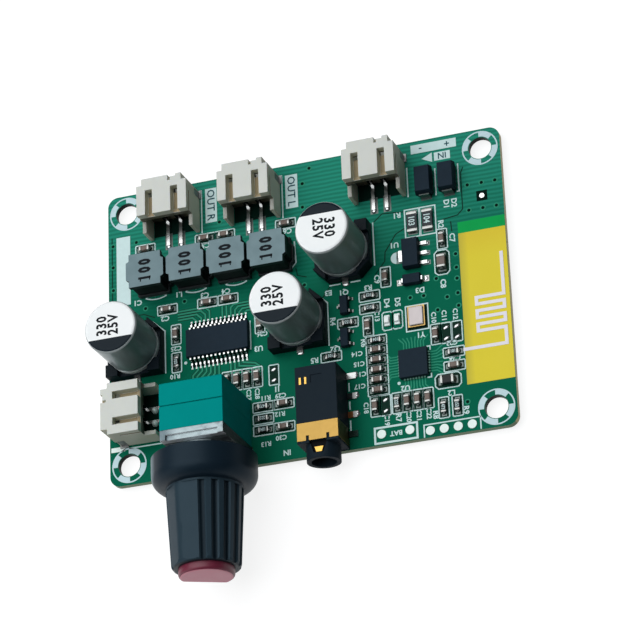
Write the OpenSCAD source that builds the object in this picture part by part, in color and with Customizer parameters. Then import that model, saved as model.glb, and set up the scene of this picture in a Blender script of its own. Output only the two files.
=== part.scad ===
// Stereo audio amplifier board: a green circuit board with screw holes at its corners,
// wire sockets on two edges, filter inductors, electrolytic capacitors, an audio jack,
// a printed aerial and a volume control with its knob.
// Frame: origin at the middle of the screw-hole pattern on the board's underside,
// X along the long edge, Y towards the speaker sockets, Z up through the parts.

/* [Board] */
// Length of the board along X
board_l = 61; // [58:0.5:75]
// Width of the board along Y
board_w = 46; // [45:0.5:60]
// Thickness of the board
board_t = 1; // [0.8:0.1:2.4]
// Corner radius of the board
corner_r = 1.6; // [0.5:0.1:2.5]
// Distance of a screw hole from both edges
hole_inset = 3; // [2.5:0.1:4]
// Diameter of a screw hole
hole_d = 3.4; // [2.2:0.1:3.6]

/* [Wire sockets] */
// Width of a socket across its two ways
socket_w = 7.9; // [7.5:0.1:9]
// Height of a socket above the board
socket_h = 5.5; // [5:0.1:7]
// Depth of a socket from its lip to the ends of its legs
socket_d = 7.6; // [7.2:0.1:9]
// Depth of the shroud that takes the plug
shroud_d = 5.85; // [5:0.05:6.5]
// How far the lip stands out in front of the side walls
lip_step = 1.05; // [0.5:0.05:1.4]
// Distance between the two contacts
contact_pitch = 2; // [1.5:0.1:2.5]
// Thickness of a contact
contact_t = 0.5; // [0.4:0.05:0.64]
// Distance of a socket's lip from the board edge
socket_inset = 0.6; // [0:0.1:1]

/* [Filter inductors] */
// Width of an inductor
inductor_w = 5.9; // [5:0.1:6.1]
// Height of an inductor
inductor_h = 4.5; // [3:0.1:6]
// Thickness of the ferrite flanges
flange_t = 0.8; // [0.5:0.05:1.1]
// Clear distance between neighbouring inductors
inductor_gap = 0.4; // [0.2:0.1:0.8]

/* [Electrolytic capacitors] */
// Diameter of a can
can_d = 8; // [6.3:0.1:8.2]
// Height of a capacitor above the board
can_h = 10.4; // [7:0.1:13]
// Side length of the plastic seat
seat_w = 8.4; // [8.3:0.1:8.8]
// Height of the seat's corner posts
seat_h = 2.3; // [1.8:0.1:3]

/* [Amplifier chip] */
// Length of the amplifier chip
amplifier_l = 9.7; // [9.4:0.1:10.4]
// Width of the amplifier chip without leads
amplifier_w = 4.4; // [4:0.1:5]
// Height of the amplifier chip
amplifier_h = 1.15; // [0.9:0.05:1.4]
// Distance between neighbouring leads
amplifier_pitch = 0.65; // [0.5:0.01:0.67]

/* [Radio section] */
// Side length of the radio chip
radio_w = 4.2; // [3.8:0.1:4.6]
// Height of the radio chip
radio_h = 0.85; // [0.6:0.05:1]
// Width of the printed aerial's track
track_w = 0.5; // [0.3:0.05:0.6]
// Distance between neighbouring aerial bars
track_pitch = 1.02; // [0.9:0.01:1.2]

/* [Audio jack] */
// Width of the jack
jack_w = 6.1; // [5.6:0.1:6.6]
// Height of the jack
jack_h = 5; // [4.6:0.1:6]
// Length of the jack without its nose
jack_l = 11.5; // [11.5:0.1:12.5]
// Radius of the plug hole
plug_r = 1.8; // [1.6:0.05:1.85]
// Length of the round nose
nose_l = 2.3; // [1.9:0.05:4]

/* [Volume control] */
// Width of the volume control
pot_w = 9.5; // [9:0.1:10.5]
// Height of the volume control above the board
pot_h = 11.4; // [11.4:0.1:13]
// Height of the shaft axis above the board
shaft_h = 6.5; // [6.2:0.1:7]
// Thickness of the front resistance wafer
front_wafer_t = 3.7; // [3.2:0.1:4.2]
// Thickness of the rear resistance wafer
rear_wafer_t = 3.4; // [3:0.1:4]
// Thickness of the metal front plate
plate_t = 1.55; // [1:0.05:2]
// Length of the bushing in front of the plate
bushing_l = 5; // [4:0.1:6]
// Diameter of the bushing
bushing_d = 7; // [6.5:0.1:8]
// Diameter of the knurled shaft end
shaft_d = 6; // [5:0.1:6.4]
// Length of the shaft in front of the plate
shaft_l = 15; // [13:0.1:16]

/* [Knob] */
// Diameter of the knob's skirt
skirt_d = 15; // [13.5:0.1:15.4]
// Length of the skirt
skirt_l = 4.6; // [4.2:0.1:5.5]
// Length of the knob without its cap
knob_l = 16.2; // [15:0.1:19]
// Diameter of the grip where it leaves the skirt
grip_d = 11; // [10.5:0.1:12]
// Diameter of the grip at its front
grip_tip_d = 9.8; // [9.4:0.1:10.5]
// How far the coloured cap stands out of the grip
cap_out = 1.2; // [0.6:0.1:2]

/* [Hidden] */
$fn = 64;
cut = 1;            // how far a cutting shape runs past the face that it cuts
slip = 0.02;        // clearance of a part pushed into its seat
run = 0.05;         // radial clearance of the turning shaft
air = 0.3;          // clearance round other turning parts

top = board_t;
front_edge = -board_w / 2;
back_edge = board_w / 2;
left_edge = -board_l / 2;
right_edge = board_l / 2;

// sockets: where the lip's middle sits, and the way that it faces
speaker_right_x = -19.75;
speaker_left_x = -7.05;
power_x = 12.2;
power_set_back = 0.3;
side_y = -13.05;
side_inset = 0.8;
SOCKETS = [
    [speaker_right_x, back_edge - socket_inset, 0],
    [speaker_left_x, back_edge - socket_inset, 0],
    [power_x, back_edge - socket_inset - power_set_back, 0],
    [left_edge + side_inset, side_y, 90]
];
lip_w = socket_w - 1.6;
cavity_w = socket_w - 2;
socket_floor = 0.6;
socket_roof = 1.6;
back_wall = 1.6;
back_hollow_h = 3.5;
back_hollow_d = 1.2;
slot_w = 1.1;
slot_l = 3.95;
slot_pitch = 4;
slot_depth = 1.1;
slot_deep = 1.4;
slot_step = 0.5;
slot_window = 0.55;
leg_t = 0.6;
leg_h = 3.05;
notch_w = 1.2;
notch_d = 0.35;
notch_h = 0.8;
notch_x = 1.05;
slit_w = 0.35;
slit_d = 0.9;
groove_d = 0.2;
groove_h = 0.3;
groove_l = 3.2;
groove_below = 1.3;
contact_z = 2.9;
contact_tip = 1.4;
contact_rise = 0.1;
foot_l = 3.7;
foot_t = 0.4;
tab_t = 0.25;
tab_l = 0.95;
tab_h = 2.1;
tab_out = 0.3;
tab_foot_l = 0.35;
tab_from = lip_step + 0.2;

// inductors in a row
inductor_pitch = inductor_w + inductor_gap;
inductor_d = 5.3;
inductor_x = -13.5;
inductor_y = 8.35;
INDUCTORS = [for (i = [0 : 3]) inductor_x + (i - 1.5) * inductor_pitch];
corner_notch = [0.45, 1.05];
corner_slope = 0.25;
core_post_d = 3;
resin_inset = 0.2;
pad_t = 0.2;
inductor_pad_l = 1.5;

// electrolytic capacitors: middle, and the turn that brings the chamfered side of the seat to +Y
CAPACITORS = [[-25.98, -2.55, 0], [-0.86, -2.45, 0], [6.4, 7, 180]];
seat_t = 1.5;
seat_fit = 0.05;
post_gap = 4.6;
chamfer = 1.7;
can_edge_r = 0.5;
bead_z = 1;
bead_r = 0.4;
bead_out = 0.22;
lead_w = 0.9;
lead_t = 0.25;
lead_from = 1.2;
lead_out = 0.45;

// amplifier chip
amplifier_x = -13.25;
amplifier_y = -3.05;
leads_per_side = 14;
amplifier_lead_w = 0.24;
amplifier_lead_t = 0.15;
amplifier_lead_out = 1;
stand_off = 0.1;

// radio chip, its crystal and the aerial
radio_x = 16;
radio_y = -11.65;
radio_toes = 8;
radio_pitch = 0.42;
toe_w = 0.22;
toe_out = 0.25;
toe_t = 0.2;
crystal_x = 16.75;
crystal_y = -4.6;
crystal_size = [2.5, 3.2, 0.45];
lid_size = [2.2, 2.9, 0.3];
aerial_t = 0.07;
aerial_bars = 6;
aerial_margin = 0.88;
aerial_feed_run = 2.1;
aerial_feed_x = radio_x + 7.5;
aerial_near = aerial_feed_x + aerial_feed_run;
aerial_far = right_edge - aerial_margin;
aerial_top_y = 3.05;
aerial_bar_y = -3.2;
aerial_feed_y = -10.75;

// power parts
regulator_x = 16.55;
regulator_y = 5.05;
regulator_size = [2.5, 4.5, 1.5];
regulator_pitch = 1.5;
small_diode_x = 16.45;
small_diode_y = 1.1;
small_diode_size = [2.7, 1.6, 1.1];
TRANSISTORS = [[6.15, -1.05], [6.05, -6.1]];
transistor_size = [1.3, 2.9, 1];
transistor_pitch = 1.9;
power_diode_y = 15.9;
POWER_DIODES = [19.15, 22.6];
power_diode_size = [2.6, 4.3, 2.2];

// two-ended chip parts: length, width, height and the length of an end cap
SMALL_CHIP = [1.6, 0.8, 0.8, 0.35];
MEDIUM_CHIP = [2, 1.25, 0.9, 0.4];
LARGE_CHIP = [3.2, 1.6, 0.6, 0.5];
resistor_h = 0.5;
end_proud = 0.03;

column_x = 10.55;
column_y = -7.1;
column_pitch = 1.53;
bottom_row_y = -17.1;
bottom_row_pitch = 1.53;
mid_row_y = 3.3;
mid_row_out = 1.75;
mid_row_in = 1.35;
rear_row_y = 13.65;
rear_row_out = 1.6;
input_row_y = -9.65;
input_pitch = 1.55;

// chip places: X, Y and turn
RESISTORS = [
    [-19.9, -5.3, 90], [-6.8, -14.4, 0], [-6.8, -16.2, 0], [-6.8, -17.95, 0],
    [3.75, -8.45, 0], [6.45, -3.7, 0], [9.85, -0.1, 0], [9.85, -2, 0],
    [column_x, column_y, 0], [13.2, bottom_row_y, 90],
    [19.95, -18.9, 90], [21.95, -18.9, 90], [21.85, -10.8, 0]
];
CERAMICS = concat(
    [for (i = [1 : 5]) [column_x, column_y - i * column_pitch, 0]],
    [for (i = [0 : 3]) [-12.15 + i * input_pitch, input_row_y, 90]],
    [for (i = [1 : 3]) [13.2 + i * bottom_row_pitch, bottom_row_y, 90]],
    [for (i = [0, 1]) [INDUCTORS[i] + mid_row_out, mid_row_y, 0]],
    [[INDUCTORS[2] - mid_row_in, mid_row_y, 0]],
    [for (i = [0 : 3]) [INDUCTORS[i] + (i % 2 == 0 ? -1 : 1) * rear_row_out, rear_row_y, 0]],
    [
        [-19.9, -0.9, 90], [-6.9, -1.4, 90], [-3.65, -14.4, 0], [-3.65, -17.95, 0],
        [9.45, -4.7, 90], [10, bottom_row_y, 90], [12.4, 2.4, 90], [21.1, 6.8, 90],
        [19.4, -7.7, 90], [21.85, -12.9, 0]
    ]
);
MEDIUM_CERAMIC = [20.9, 3.15, 90];
BEAD = [20.8, -14.95, 0];
LARGE_RESISTORS = [[16.85, 10.15, 90], [19.15, 10.15, 90]];
LEDS = [[12.35, -4.45, 90], [13.85, -4.45, 90]];
led_base_h = 0.3;
led_lens_h = 0.35;
led_end = 0.3;

// bare round pads along the front edge
BATTERY_PADS = [10.7, 14.85];
battery_pad_y = front_edge + 1.6;
SERIAL_PADS = [for (i = [0 : 3]) 17.8 + i * 2.03];
serial_pad_y = front_edge + 1;
round_pad_d = 1.3;
round_pad_t = 0.12;

// audio jack, from its front face
jack_x = 2.9;
jack_front = front_edge + 0.1;
plug_z = top + jack_h / 2;
nose_r = jack_h / 2 - 0.05;
plug_depth = 13;
shell_t = 0.2;
shell_from = 0.35;
shell_l = 2.7;
shell_notch_w = 0.4;
shell_notch_l = 0.75;
shell_notch_x = 1.5;
window_l = 1.5;
window_w = 2.6;
window_end_w = 1.4;
spring_from = 0.6;
spring_tip_l = 0.75;
spring_tip_w = 1.3;
spring_end_w = 0.8;
spring_t = 0.18;
window_floor = jack_h - 0.57;
terminal_w = 0.9;
terminal_t = 0.25;
terminal_out = 1.35;
terminal_in = 0.55;
strip_h = 3.2;
RIGHT_TERMINALS = [2.2, 5.1, 7.9, 10.95];
LEFT_TERMINALS = [5.1];
prong_y = 9.4;
prong_l = 1.05;
prong_t = 0.3;
PRONGS = [-2.35, -1.55];
prong_h = 0.5;
prong_sunk = 0.08;
dimple = [1.7, 1.2, 0.15];
dimple_x = 0.05;
dimple_y = 9.5;

// volume control, from the front face of its plate
pot_x = -13.45;
pot_front = front_edge + 1.25;
shaft_z = top + shaft_h;
wafer_front = pot_front + plate_t;
wafer_split = wafer_front + front_wafer_t;
pot_rear = wafer_split + rear_wafer_t;
rotor_hall_r = pot_w / 2 - 1.1;
front_hall = front_wafer_t - 1.1;
rear_hall = rear_wafer_t - 1.1;
rotor_t = 1.5;
tail_d = 3;
neck_d = 4.5;
pin_w = 0.7;
pin_hole_d = 1.1;
pin_below = 1;
pin_pitch = 2.5;
PIN_ROWS = [wafer_front + front_wafer_t / 2, wafer_split + rear_wafer_t / 2];
lug_w = 0.9;
lug_l = 1.2;
wafer_edge = 0.3;
plate_top_step = 0.35;

// knob, from its rear rim
knob_gap = 0.5;
knob_rear = front_edge - knob_gap;
knob_from = pot_front - knob_rear;
shoulder_r = 2;
recess_r = skirt_d / 2 - 1.3;
recess_l = max(1, bushing_l - knob_from + air);
shaft_clear = 0.45;
hub_l = shaft_l - knob_from + shaft_clear;
tip_edge = 0.6;
pointer_turn = 24;  // anticlockwise from straight up, seen from the front
FLUTES = 15;
flute_start = 40;
flute_pitch = (360 - 2 * flute_start) / (FLUTES - 1);
flute_r = 0.65;
flute_depth = 0.4;
panel_turn = 21;
panel_depth = 0.18;
panel_w = 4;
cap_r = 3.95;
cap_flat = 1.9;
cap_turn = 209;     // clockwise from straight up to the cap's flat, seen from the front
cap_seat = 1;
cap_edge = 0.5;

// Places children on the board's upper face.
module on_board(x, y, turn = 0) {
    translate([x, y, top])
        rotate([0, 0, turn])
            children();
}

// Box that is centred on X and Y and stands on Z = 0.
module block(size) {
    translate([-size[0] / 2, -size[1] / 2, 0])
        cube(size);
}

// Extrudes a profile drawn in Y and Z along X, centred.
module along_x(length) {
    rotate([90, 0, 90])
        translate([0, 0, -length / 2])
            linear_extrude(length)
                children();
}

// Side view of a moulded package, widest at its parting line.
function moulded_side(length, height, draft) = [
    [-length / 2 + draft, 0], [length / 2 - draft, 0], [length / 2, height / 2],
    [length / 2 - draft, height], [-length / 2 + draft, height], [-length / 2, height / 2]
];

// Moulded plastic package with drafted sides.
module moulded(size, draft = 0.1) {
    intersection() {
        along_x(size[0])
            polygon(moulded_side(size[1], size[2], draft));
        rotate([0, 0, 90])
            along_x(size[1])
                polygon(moulded_side(size[0], size[2], draft));
    }
}

// Bent lead that leaves a package at height h towards +Y and comes down to the board.
module gull_lead(width, thick, h, out) {
    knee = out * 0.3;
    heel = out * 0.5;
    along_x(width)
        polygon([
            [0, h], [0, h + thick], [knee, h + thick], [heel + thick, thick],
            [out, thick], [out, 0], [heel, 0], [knee - thick / 2, h]
        ]);
}

// Board.
module board_outline() {
    for (dx = [-1, 1])
        for (dy = [-1, 1])
            translate([dx * (board_l / 2 - corner_r), dy * (board_w / 2 - corner_r)])
                circle(corner_r);
    square([board_l - 2 * corner_r, board_w], center = true);
    square([board_l, board_w - 2 * corner_r], center = true);
}

module pcb() {
    color("seagreen")
        difference() {
            linear_extrude(board_t)
                board_outline();
            for (dx = [-1, 1])
                for (dy = [-1, 1])
                    translate([dx * (board_l / 2 - hole_inset), dy * (board_w / 2 - hole_inset), -cut])
                        cylinder(d = hole_d, h = board_t + 2 * cut);
            for (y = PIN_ROWS)
                for (i = [-1 : 1])
                    translate([pot_x + i * pin_pitch, y, -cut])
                        cylinder(d = pin_hole_d, h = board_t + 2 * cut);
            for (dx = [-1, 1])
                translate([pot_x + dx * (pot_w - lug_w) / 2, pot_front + plate_t / 2, -cut])
                    block([lug_w + air, lug_l + air, board_t + 2 * cut]);
        }
}

module track(from, to) {
    reach = [abs(to[0] - from[0]) + track_w, abs(to[1] - from[1]) + track_w];
    translate((from + to) / 2)
        square(reach, center = true);
}

module antenna_trace() {
    bar_y = [for (i = [0 : aerial_bars - 1]) aerial_bar_y - i * track_pitch];
    last_y = bar_y[aerial_bars - 1];
    color("gainsboro")
        translate([0, 0, top])
            linear_extrude(aerial_t) {
                track([aerial_far, aerial_top_y], [aerial_far, aerial_bar_y]);
                for (y = bar_y)
                    track([aerial_near, y], [aerial_far, y]);
                for (i = [0 : aerial_bars - 2]) {
                    x = i % 2 == 0 ? aerial_near : aerial_far;
                    track([x, bar_y[i]], [x, bar_y[i + 1]]);
                }
                track([aerial_far, last_y], [aerial_far, min(last_y, aerial_feed_y)]);
                track([aerial_feed_x, aerial_feed_y], [aerial_far, aerial_feed_y]);
            }
}

module solder_pads() {
    color("silver") {
        for (x = BATTERY_PADS)
            on_board(x, battery_pad_y)
                cylinder(d = round_pad_d, h = round_pad_t);
        for (x = SERIAL_PADS)
            on_board(x, serial_pad_y)
                cylinder(d = round_pad_d, h = round_pad_t);
    }
}

// Wire sockets: lip at Y = 0 facing +Y.
module socket_housing(i) {
    s = SOCKETS[i];
    color("gainsboro")
        on_board(s[0], s[1], s[2])
            difference() {
                union() {
                    translate([-socket_w / 2, -shroud_d, 0])
                        cube([socket_w, shroud_d - lip_step, socket_h]);
                    translate([-lip_w / 2, -shroud_d, 0])
                        cube([lip_w, shroud_d, socket_h]);
                    for (side = [-1, 1])
                        translate([side * (socket_w - leg_t) / 2 - leg_t / 2, -socket_d, 0])
                            cube([leg_t, socket_d - lip_step, leg_h]);
                }
                socket_cuts();
            }
}

module socket_cuts() {
    hole_w = contact_t + 2 * slip;
    translate([-cavity_w / 2, -(shroud_d - back_wall), socket_floor])
        cube([cavity_w, shroud_d, socket_h - socket_floor - socket_roof]);
    translate([-socket_w / 2 + leg_t, -shroud_d - cut, -cut])
        cube([socket_w - 2 * leg_t, back_hollow_d + cut, back_hollow_h + cut]);
    translate([notch_x, -notch_d, socket_h - notch_h])
        cube([notch_w, notch_d + cut, notch_h + cut]);
    translate([notch_x, -slit_d, socket_h - notch_h])
        cube([slit_w, slit_d + cut, notch_h + cut]);
    for (side = [-1, 1]) {
        translate([side * slot_pitch / 2 - slot_w / 2, -shroud_d - cut, socket_h - slot_depth])
            cube([slot_w, slot_l + cut, slot_depth + cut]);
        translate([side * slot_pitch / 2 - slot_w / 2, -shroud_d + slot_step, socket_h - slot_deep])
            cube([slot_w, slot_l - slot_step, slot_deep + cut]);
        translate([side * slot_pitch / 2 - slot_w / 2, -shroud_d + slot_l - slot_window, socket_h - socket_roof - cut])
            cube([slot_w, slot_window, socket_roof + 2 * cut]);
        translate([side * contact_pitch / 2 - hole_w / 2, -shroud_d - cut, contact_z - hole_w / 2])
            cube([hole_w, back_wall + 2 * cut, hole_w]);
        translate([side * (socket_w / 2 + cut - groove_d) - cut, -shroud_d - cut, socket_h - groove_below])
            cube([2 * cut, groove_l + cut, groove_h]);
        translate([side * (socket_w / 2 + cut - tab_t - slip) - cut, -tab_from - tab_l - slip, -cut])
            cube([2 * cut, tab_l + 2 * slip, tab_h + slip + cut]);
        translate([side * (socket_w / 2 + cut - tab_t - slip) - cut, -tab_from - tab_l - slip, -cut])
            cube([2 * cut, tab_l + tab_foot_l + 2 * slip, tab_t + slip + cut]);
    }
}

module socket_contacts() {
    bend = shroud_d - back_hollow_d + contact_rise;
    color("silver")
        for (s = SOCKETS)
            on_board(s[0], s[1], s[2])
                for (side = [-1, 1])
                    translate([side * contact_pitch / 2, 0, 0])
                        along_x(contact_t)
                            polygon([
                                [-contact_tip, contact_z - contact_t / 2],
                                [-contact_tip, contact_z + contact_t / 2],
                                [-bend - contact_t, contact_z + contact_t / 2],
                                [-bend - contact_t, foot_t],
                                [-bend - foot_l - contact_t, foot_t],
                                [-bend - foot_l - contact_t, 0],
                                [-bend, 0],
                                [-bend, contact_z - contact_t / 2]
                            ]);
}

module socket_tabs() {
    color("silver")
        for (s = SOCKETS)
            on_board(s[0], s[1], s[2])
                for (side = [-1, 1])
                    translate([side * (socket_w - tab_t) / 2, -tab_from - tab_l / 2, 0]) {
                        block([tab_t, tab_l, tab_h]);
                        translate([side * tab_out / 2, tab_foot_l / 2, 0])
                            block([tab_out + tab_t, tab_l + tab_foot_l, tab_t]);
                    }
}

// Filter inductors: a ferrite core with its winding set in dark resin.
module flange_outline(inset) {
    half_w = inductor_w / 2 - inset;
    half_d = inductor_d / 2 - inset;
    for (turn = [0, 180])
        rotate(turn)
            polygon([
                [-half_w, 0], [half_w, 0], [half_w, half_d - corner_notch[1] - corner_slope],
                [half_w - corner_notch[0], half_d - corner_notch[1]], [half_w - corner_notch[0], half_d],
                [corner_notch[0] - half_w, half_d], [corner_notch[0] - half_w, half_d - corner_notch[1]],
                [-half_w, half_d - corner_notch[1] - corner_slope]
            ]);
}

module inductor_core(i) {
    color("slategray")
        on_board(INDUCTORS[i], inductor_y) {
            translate([0, 0, pad_t])
                linear_extrude(flange_t)
                    flange_outline(0);
            translate([0, 0, pad_t])
                cylinder(d = core_post_d, h = inductor_h - pad_t);
            translate([0, 0, inductor_h - flange_t])
                linear_extrude(flange_t)
                    flange_outline(0);
        }
}

module inductor_winding(i) {
    color([0.1, 0.1, 0.11])
        on_board(INDUCTORS[i], inductor_y)
            translate([0, 0, pad_t + flange_t])
                linear_extrude(inductor_h - pad_t - 2 * flange_t)
                    difference() {
                        flange_outline(resin_inset);
                        circle(d = core_post_d);
                    }
}

module inductor_terminals() {
    color("silver")
        for (x = INDUCTORS)
            on_board(x, inductor_y)
                for (dy = [-1, 1])
                    translate([0, dy * (inductor_d - inductor_pad_l) / 2, 0])
                        block([inductor_w - 4 * corner_notch[0], inductor_pad_l, pad_t]);
}

// Electrolytic capacitors.
module capacitor_can(i) {
    c = CAPACITORS[i];
    can_r = can_d / 2;
    color("silver")
        on_board(c[0], c[1], c[2])
            rotate_extrude()
                difference() {
                    union() {
                        translate([0, seat_t])
                            square([can_r, can_h - seat_t - can_edge_r]);
                        translate([0, seat_t])
                            square([can_r - can_edge_r, can_h - seat_t]);
                        translate([can_r - can_edge_r, can_h - can_edge_r])
                            circle(can_edge_r);
                    }
                    translate([can_r + bead_out, seat_t + bead_z])
                        circle(bead_r);
                }
}

module seat_outline() {
    w = seat_w / 2;
    polygon([[-w, -w], [w, -w], [w, w - chamfer], [w - chamfer, w], [-w + chamfer, w], [-w, w - chamfer]]);
}

module capacitor_seat(i) {
    c = CAPACITORS[i];
    color([0.12, 0.12, 0.13])
        on_board(c[0], c[1], c[2])
            difference() {
                linear_extrude(seat_h)
                    seat_outline();
                translate([0, 0, seat_t])
                    cylinder(d = can_d + 2 * seat_fit, h = seat_h);
                for (turn = [0, 90])
                    rotate([0, 0, turn])
                        translate([0, 0, seat_t])
                            block([seat_w + 2 * cut, post_gap, seat_h]);
                for (dy = [-1, 1])
                    translate([0, dy * (seat_w / 2 + lead_from) / 2, -cut])
                        block([lead_w + 2 * slip, seat_w / 2 - lead_from + 2 * slip, cut + lead_t + slip]);
            }
}

module capacitor_leads() {
    color("silver")
        for (c = CAPACITORS)
            on_board(c[0], c[1], c[2])
                for (dy = [-1, 1])
                    translate([0, dy * (seat_w / 2 + lead_out + lead_from) / 2, 0])
                        block([lead_w, seat_w / 2 + lead_out - lead_from, lead_t]);
}

// Amplifier chip.
module amplifier_body() {
    color([0.15, 0.16, 0.18])
        on_board(amplifier_x, amplifier_y)
            translate([0, 0, stand_off])
                moulded([amplifier_l, amplifier_w, amplifier_h - stand_off]);
}

module amplifier_leads() {
    mid_h = stand_off + (amplifier_h - stand_off) / 2;
    color("silver")
        on_board(amplifier_x, amplifier_y)
            for (turn = [0, 180])
                rotate([0, 0, turn])
                    for (i = [0 : leads_per_side - 1])
                        translate([(i - (leads_per_side - 1) / 2) * amplifier_pitch, amplifier_w / 2, 0])
                            gull_lead(amplifier_lead_w, amplifier_lead_t, mid_h, amplifier_lead_out);
}

// Radio chip, crystal.
module radio_chip_body() {
    color([0.16, 0.17, 0.19])
        on_board(radio_x, radio_y)
            block([radio_w, radio_w, radio_h]);
}

module radio_chip_toes() {
    color("silver")
        on_board(radio_x, radio_y)
            for (turn = [0 : 90 : 270])
                rotate([0, 0, turn])
                    for (i = [0 : radio_toes - 1])
                        translate([(i - (radio_toes - 1) / 2) * radio_pitch, (radio_w + toe_out) / 2, 0])
                            block([toe_w, toe_out, toe_t]);
}

module crystal_base() {
    color([0.15, 0.15, 0.15])
        on_board(crystal_x, crystal_y)
            block(crystal_size);
}

module crystal_lid() {
    color("gainsboro")
        on_board(crystal_x, crystal_y)
            translate([0, 0, crystal_size[2]])
                moulded(lid_size);
}

// Voltage regulator: three leads towards +X, heat tab towards -X.
module regulator_body() {
    color([0.13, 0.13, 0.15])
        on_board(regulator_x, regulator_y)
            moulded(regulator_size);
}

module regulator_leads() {
    lead = [1, 0.5, 0.4];
    tab = [0.7, 1.7, 0.4];
    color("silver")
        on_board(regulator_x, regulator_y) {
            for (i = [-1 : 1])
                translate([(regulator_size[0] + lead[0]) / 2, i * regulator_pitch, 0])
                    block(lead);
            translate([-(regulator_size[0] + tab[0]) / 2, 0, 0])
                block(tab);
        }
}

// Small diode with a lead at each end.
module small_diode_body() {
    color([0.12, 0.12, 0.13])
        on_board(small_diode_x, small_diode_y)
            moulded(small_diode_size);
}

module small_diode_leads() {
    lead = [0.6, 0.65, 0.15];
    color("silver")
        on_board(small_diode_x, small_diode_y)
            for (turn = [-90, 90])
                rotate([0, 0, turn])
                    translate([0, small_diode_size[0] / 2, 0])
                        gull_lead(lead[0], lead[2], small_diode_size[2] / 2, lead[1]);
}

// Small transistors: one lead towards -X, two towards +X.
module transistor_bodies() {
    color([0.12, 0.12, 0.13])
        for (t = TRANSISTORS)
            on_board(t[0], t[1])
                moulded(transistor_size);
}

module transistor_leads() {
    lead = [0.42, 0.6, 0.13];
    color("silver")
        for (t = TRANSISTORS)
            on_board(t[0], t[1]) {
                rotate([0, 0, 90])
                    translate([0, transistor_size[0] / 2, 0])
                        gull_lead(lead[0], lead[2], transistor_size[2] / 2, lead[1]);
                for (i = [-1, 1])
                    rotate([0, 0, -90])
                        translate([i * transistor_pitch / 2, transistor_size[0] / 2, 0])
                            gull_lead(lead[0], lead[2], transistor_size[2] / 2, lead[1]);
            }
}

// Power diodes with a wrapped terminal at each end.
module power_diode_bodies() {
    color([0.11, 0.11, 0.12])
        for (x = POWER_DIODES)
            on_board(x, power_diode_y)
                translate([0, 0, stand_off])
                    moulded([power_diode_size[0], power_diode_size[1], power_diode_size[2] - stand_off], 0.2);
}

module power_diode_terminals() {
    width = 1.5;
    thick = 0.2;
    mid_h = stand_off + (power_diode_size[2] - stand_off) / 2;
    color("silver")
        for (x = POWER_DIODES)
            on_board(x, power_diode_y)
                for (turn = [0, 180])
                    rotate([0, 0, turn])
                        translate([0, power_diode_size[1] / 2 + thick / 2, 0])
                            block([width, thick, mid_h + thick]);
}

// Two-ended chip parts, along X when not turned.
module chip_body(size, height) {
    block([size[0] - 2 * size[3], size[1] - 2 * end_proud, height - end_proud]);
}

module chip_ends(size, height) {
    for (side = [-1, 1])
        translate([side * (size[0] - size[3]) / 2, 0, 0])
            block([size[3], size[1], height]);
}

module large_resistor_bodies() {
    color([0.1, 0.1, 0.11])
        for (c = LARGE_RESISTORS)
            on_board(c[0], c[1], c[2])
                chip_body(LARGE_CHIP, LARGE_CHIP[2]);
}

module chip_resistor_bodies() {
    color([0.1, 0.1, 0.13])
        for (c = RESISTORS)
            on_board(c[0], c[1], c[2])
                chip_body(SMALL_CHIP, resistor_h);
}

module resistor_ends() {
    color("silver") {
        for (c = LARGE_RESISTORS)
            on_board(c[0], c[1], c[2])
                chip_ends(LARGE_CHIP, LARGE_CHIP[2]);
        for (c = RESISTORS)
            on_board(c[0], c[1], c[2])
                chip_ends(SMALL_CHIP, resistor_h);
    }
}

module chip_capacitor_bodies() {
    color([0.55, 0.45, 0.4]) {
        for (c = CERAMICS)
            on_board(c[0], c[1], c[2])
                chip_body(SMALL_CHIP, SMALL_CHIP[2]);
        on_board(MEDIUM_CERAMIC[0], MEDIUM_CERAMIC[1], MEDIUM_CERAMIC[2])
            chip_body(MEDIUM_CHIP, MEDIUM_CHIP[2]);
    }
}

module chip_capacitor_ends() {
    color("silver") {
        for (c = CERAMICS)
            on_board(c[0], c[1], c[2])
                chip_ends(SMALL_CHIP, SMALL_CHIP[2]);
        on_board(MEDIUM_CERAMIC[0], MEDIUM_CERAMIC[1], MEDIUM_CERAMIC[2])
            chip_ends(MEDIUM_CHIP, MEDIUM_CHIP[2]);
    }
}

module bead_body() {
    color([0.12, 0.12, 0.12])
        on_board(BEAD[0], BEAD[1], BEAD[2])
            chip_body(MEDIUM_CHIP, MEDIUM_CHIP[2]);
}

module bead_ends() {
    color("silver")
        on_board(BEAD[0], BEAD[1], BEAD[2])
            chip_ends(MEDIUM_CHIP, MEDIUM_CHIP[2]);
}

// Indicator lights: a flat carrier with a clear lens.
module led_bases() {
    color("white")
        for (c = LEDS)
            on_board(c[0], c[1], c[2])
                block([SMALL_CHIP[0], SMALL_CHIP[1], led_base_h]);
}

module led_lenses() {
    color("lightyellow")
        for (c = LEDS)
            on_board(c[0], c[1], c[2])
                translate([0, 0, led_base_h])
                    moulded([SMALL_CHIP[0] - 2 * led_end, SMALL_CHIP[1], led_lens_h]);
}

// Audio jack: front face at Y = 0, plug hole facing -Y.
module at_jack() {
    translate([jack_x, jack_front, top])
        children();
}

module plug_axis(from, length, radius) {
    translate([0, from, jack_h / 2])
        rotate([-90, 0, 0])
            cylinder(r = radius, h = length);
}

// Space of the bent metal shell over the top and both sides; past lets a cut run outside.
module shell_wrap(past) {
    difference() {
        translate([0, shell_from + shell_l / 2, -past])
            block([jack_w + 2 * past, shell_l, jack_h + 2 * past]);
        translate([0, shell_from + shell_l / 2, -2 * cut])
            block([jack_w - 2 * shell_t, shell_l + 2 * cut, jack_h - shell_t + 2 * cut]);
    }
}

// Four-sided outline that narrows from one width to another along Y.
module taper(from, from_w, to, to_w) {
    polygon([[-from_w / 2, from], [from_w / 2, from], [to_w / 2, to], [-to_w / 2, to]]);
}

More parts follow.
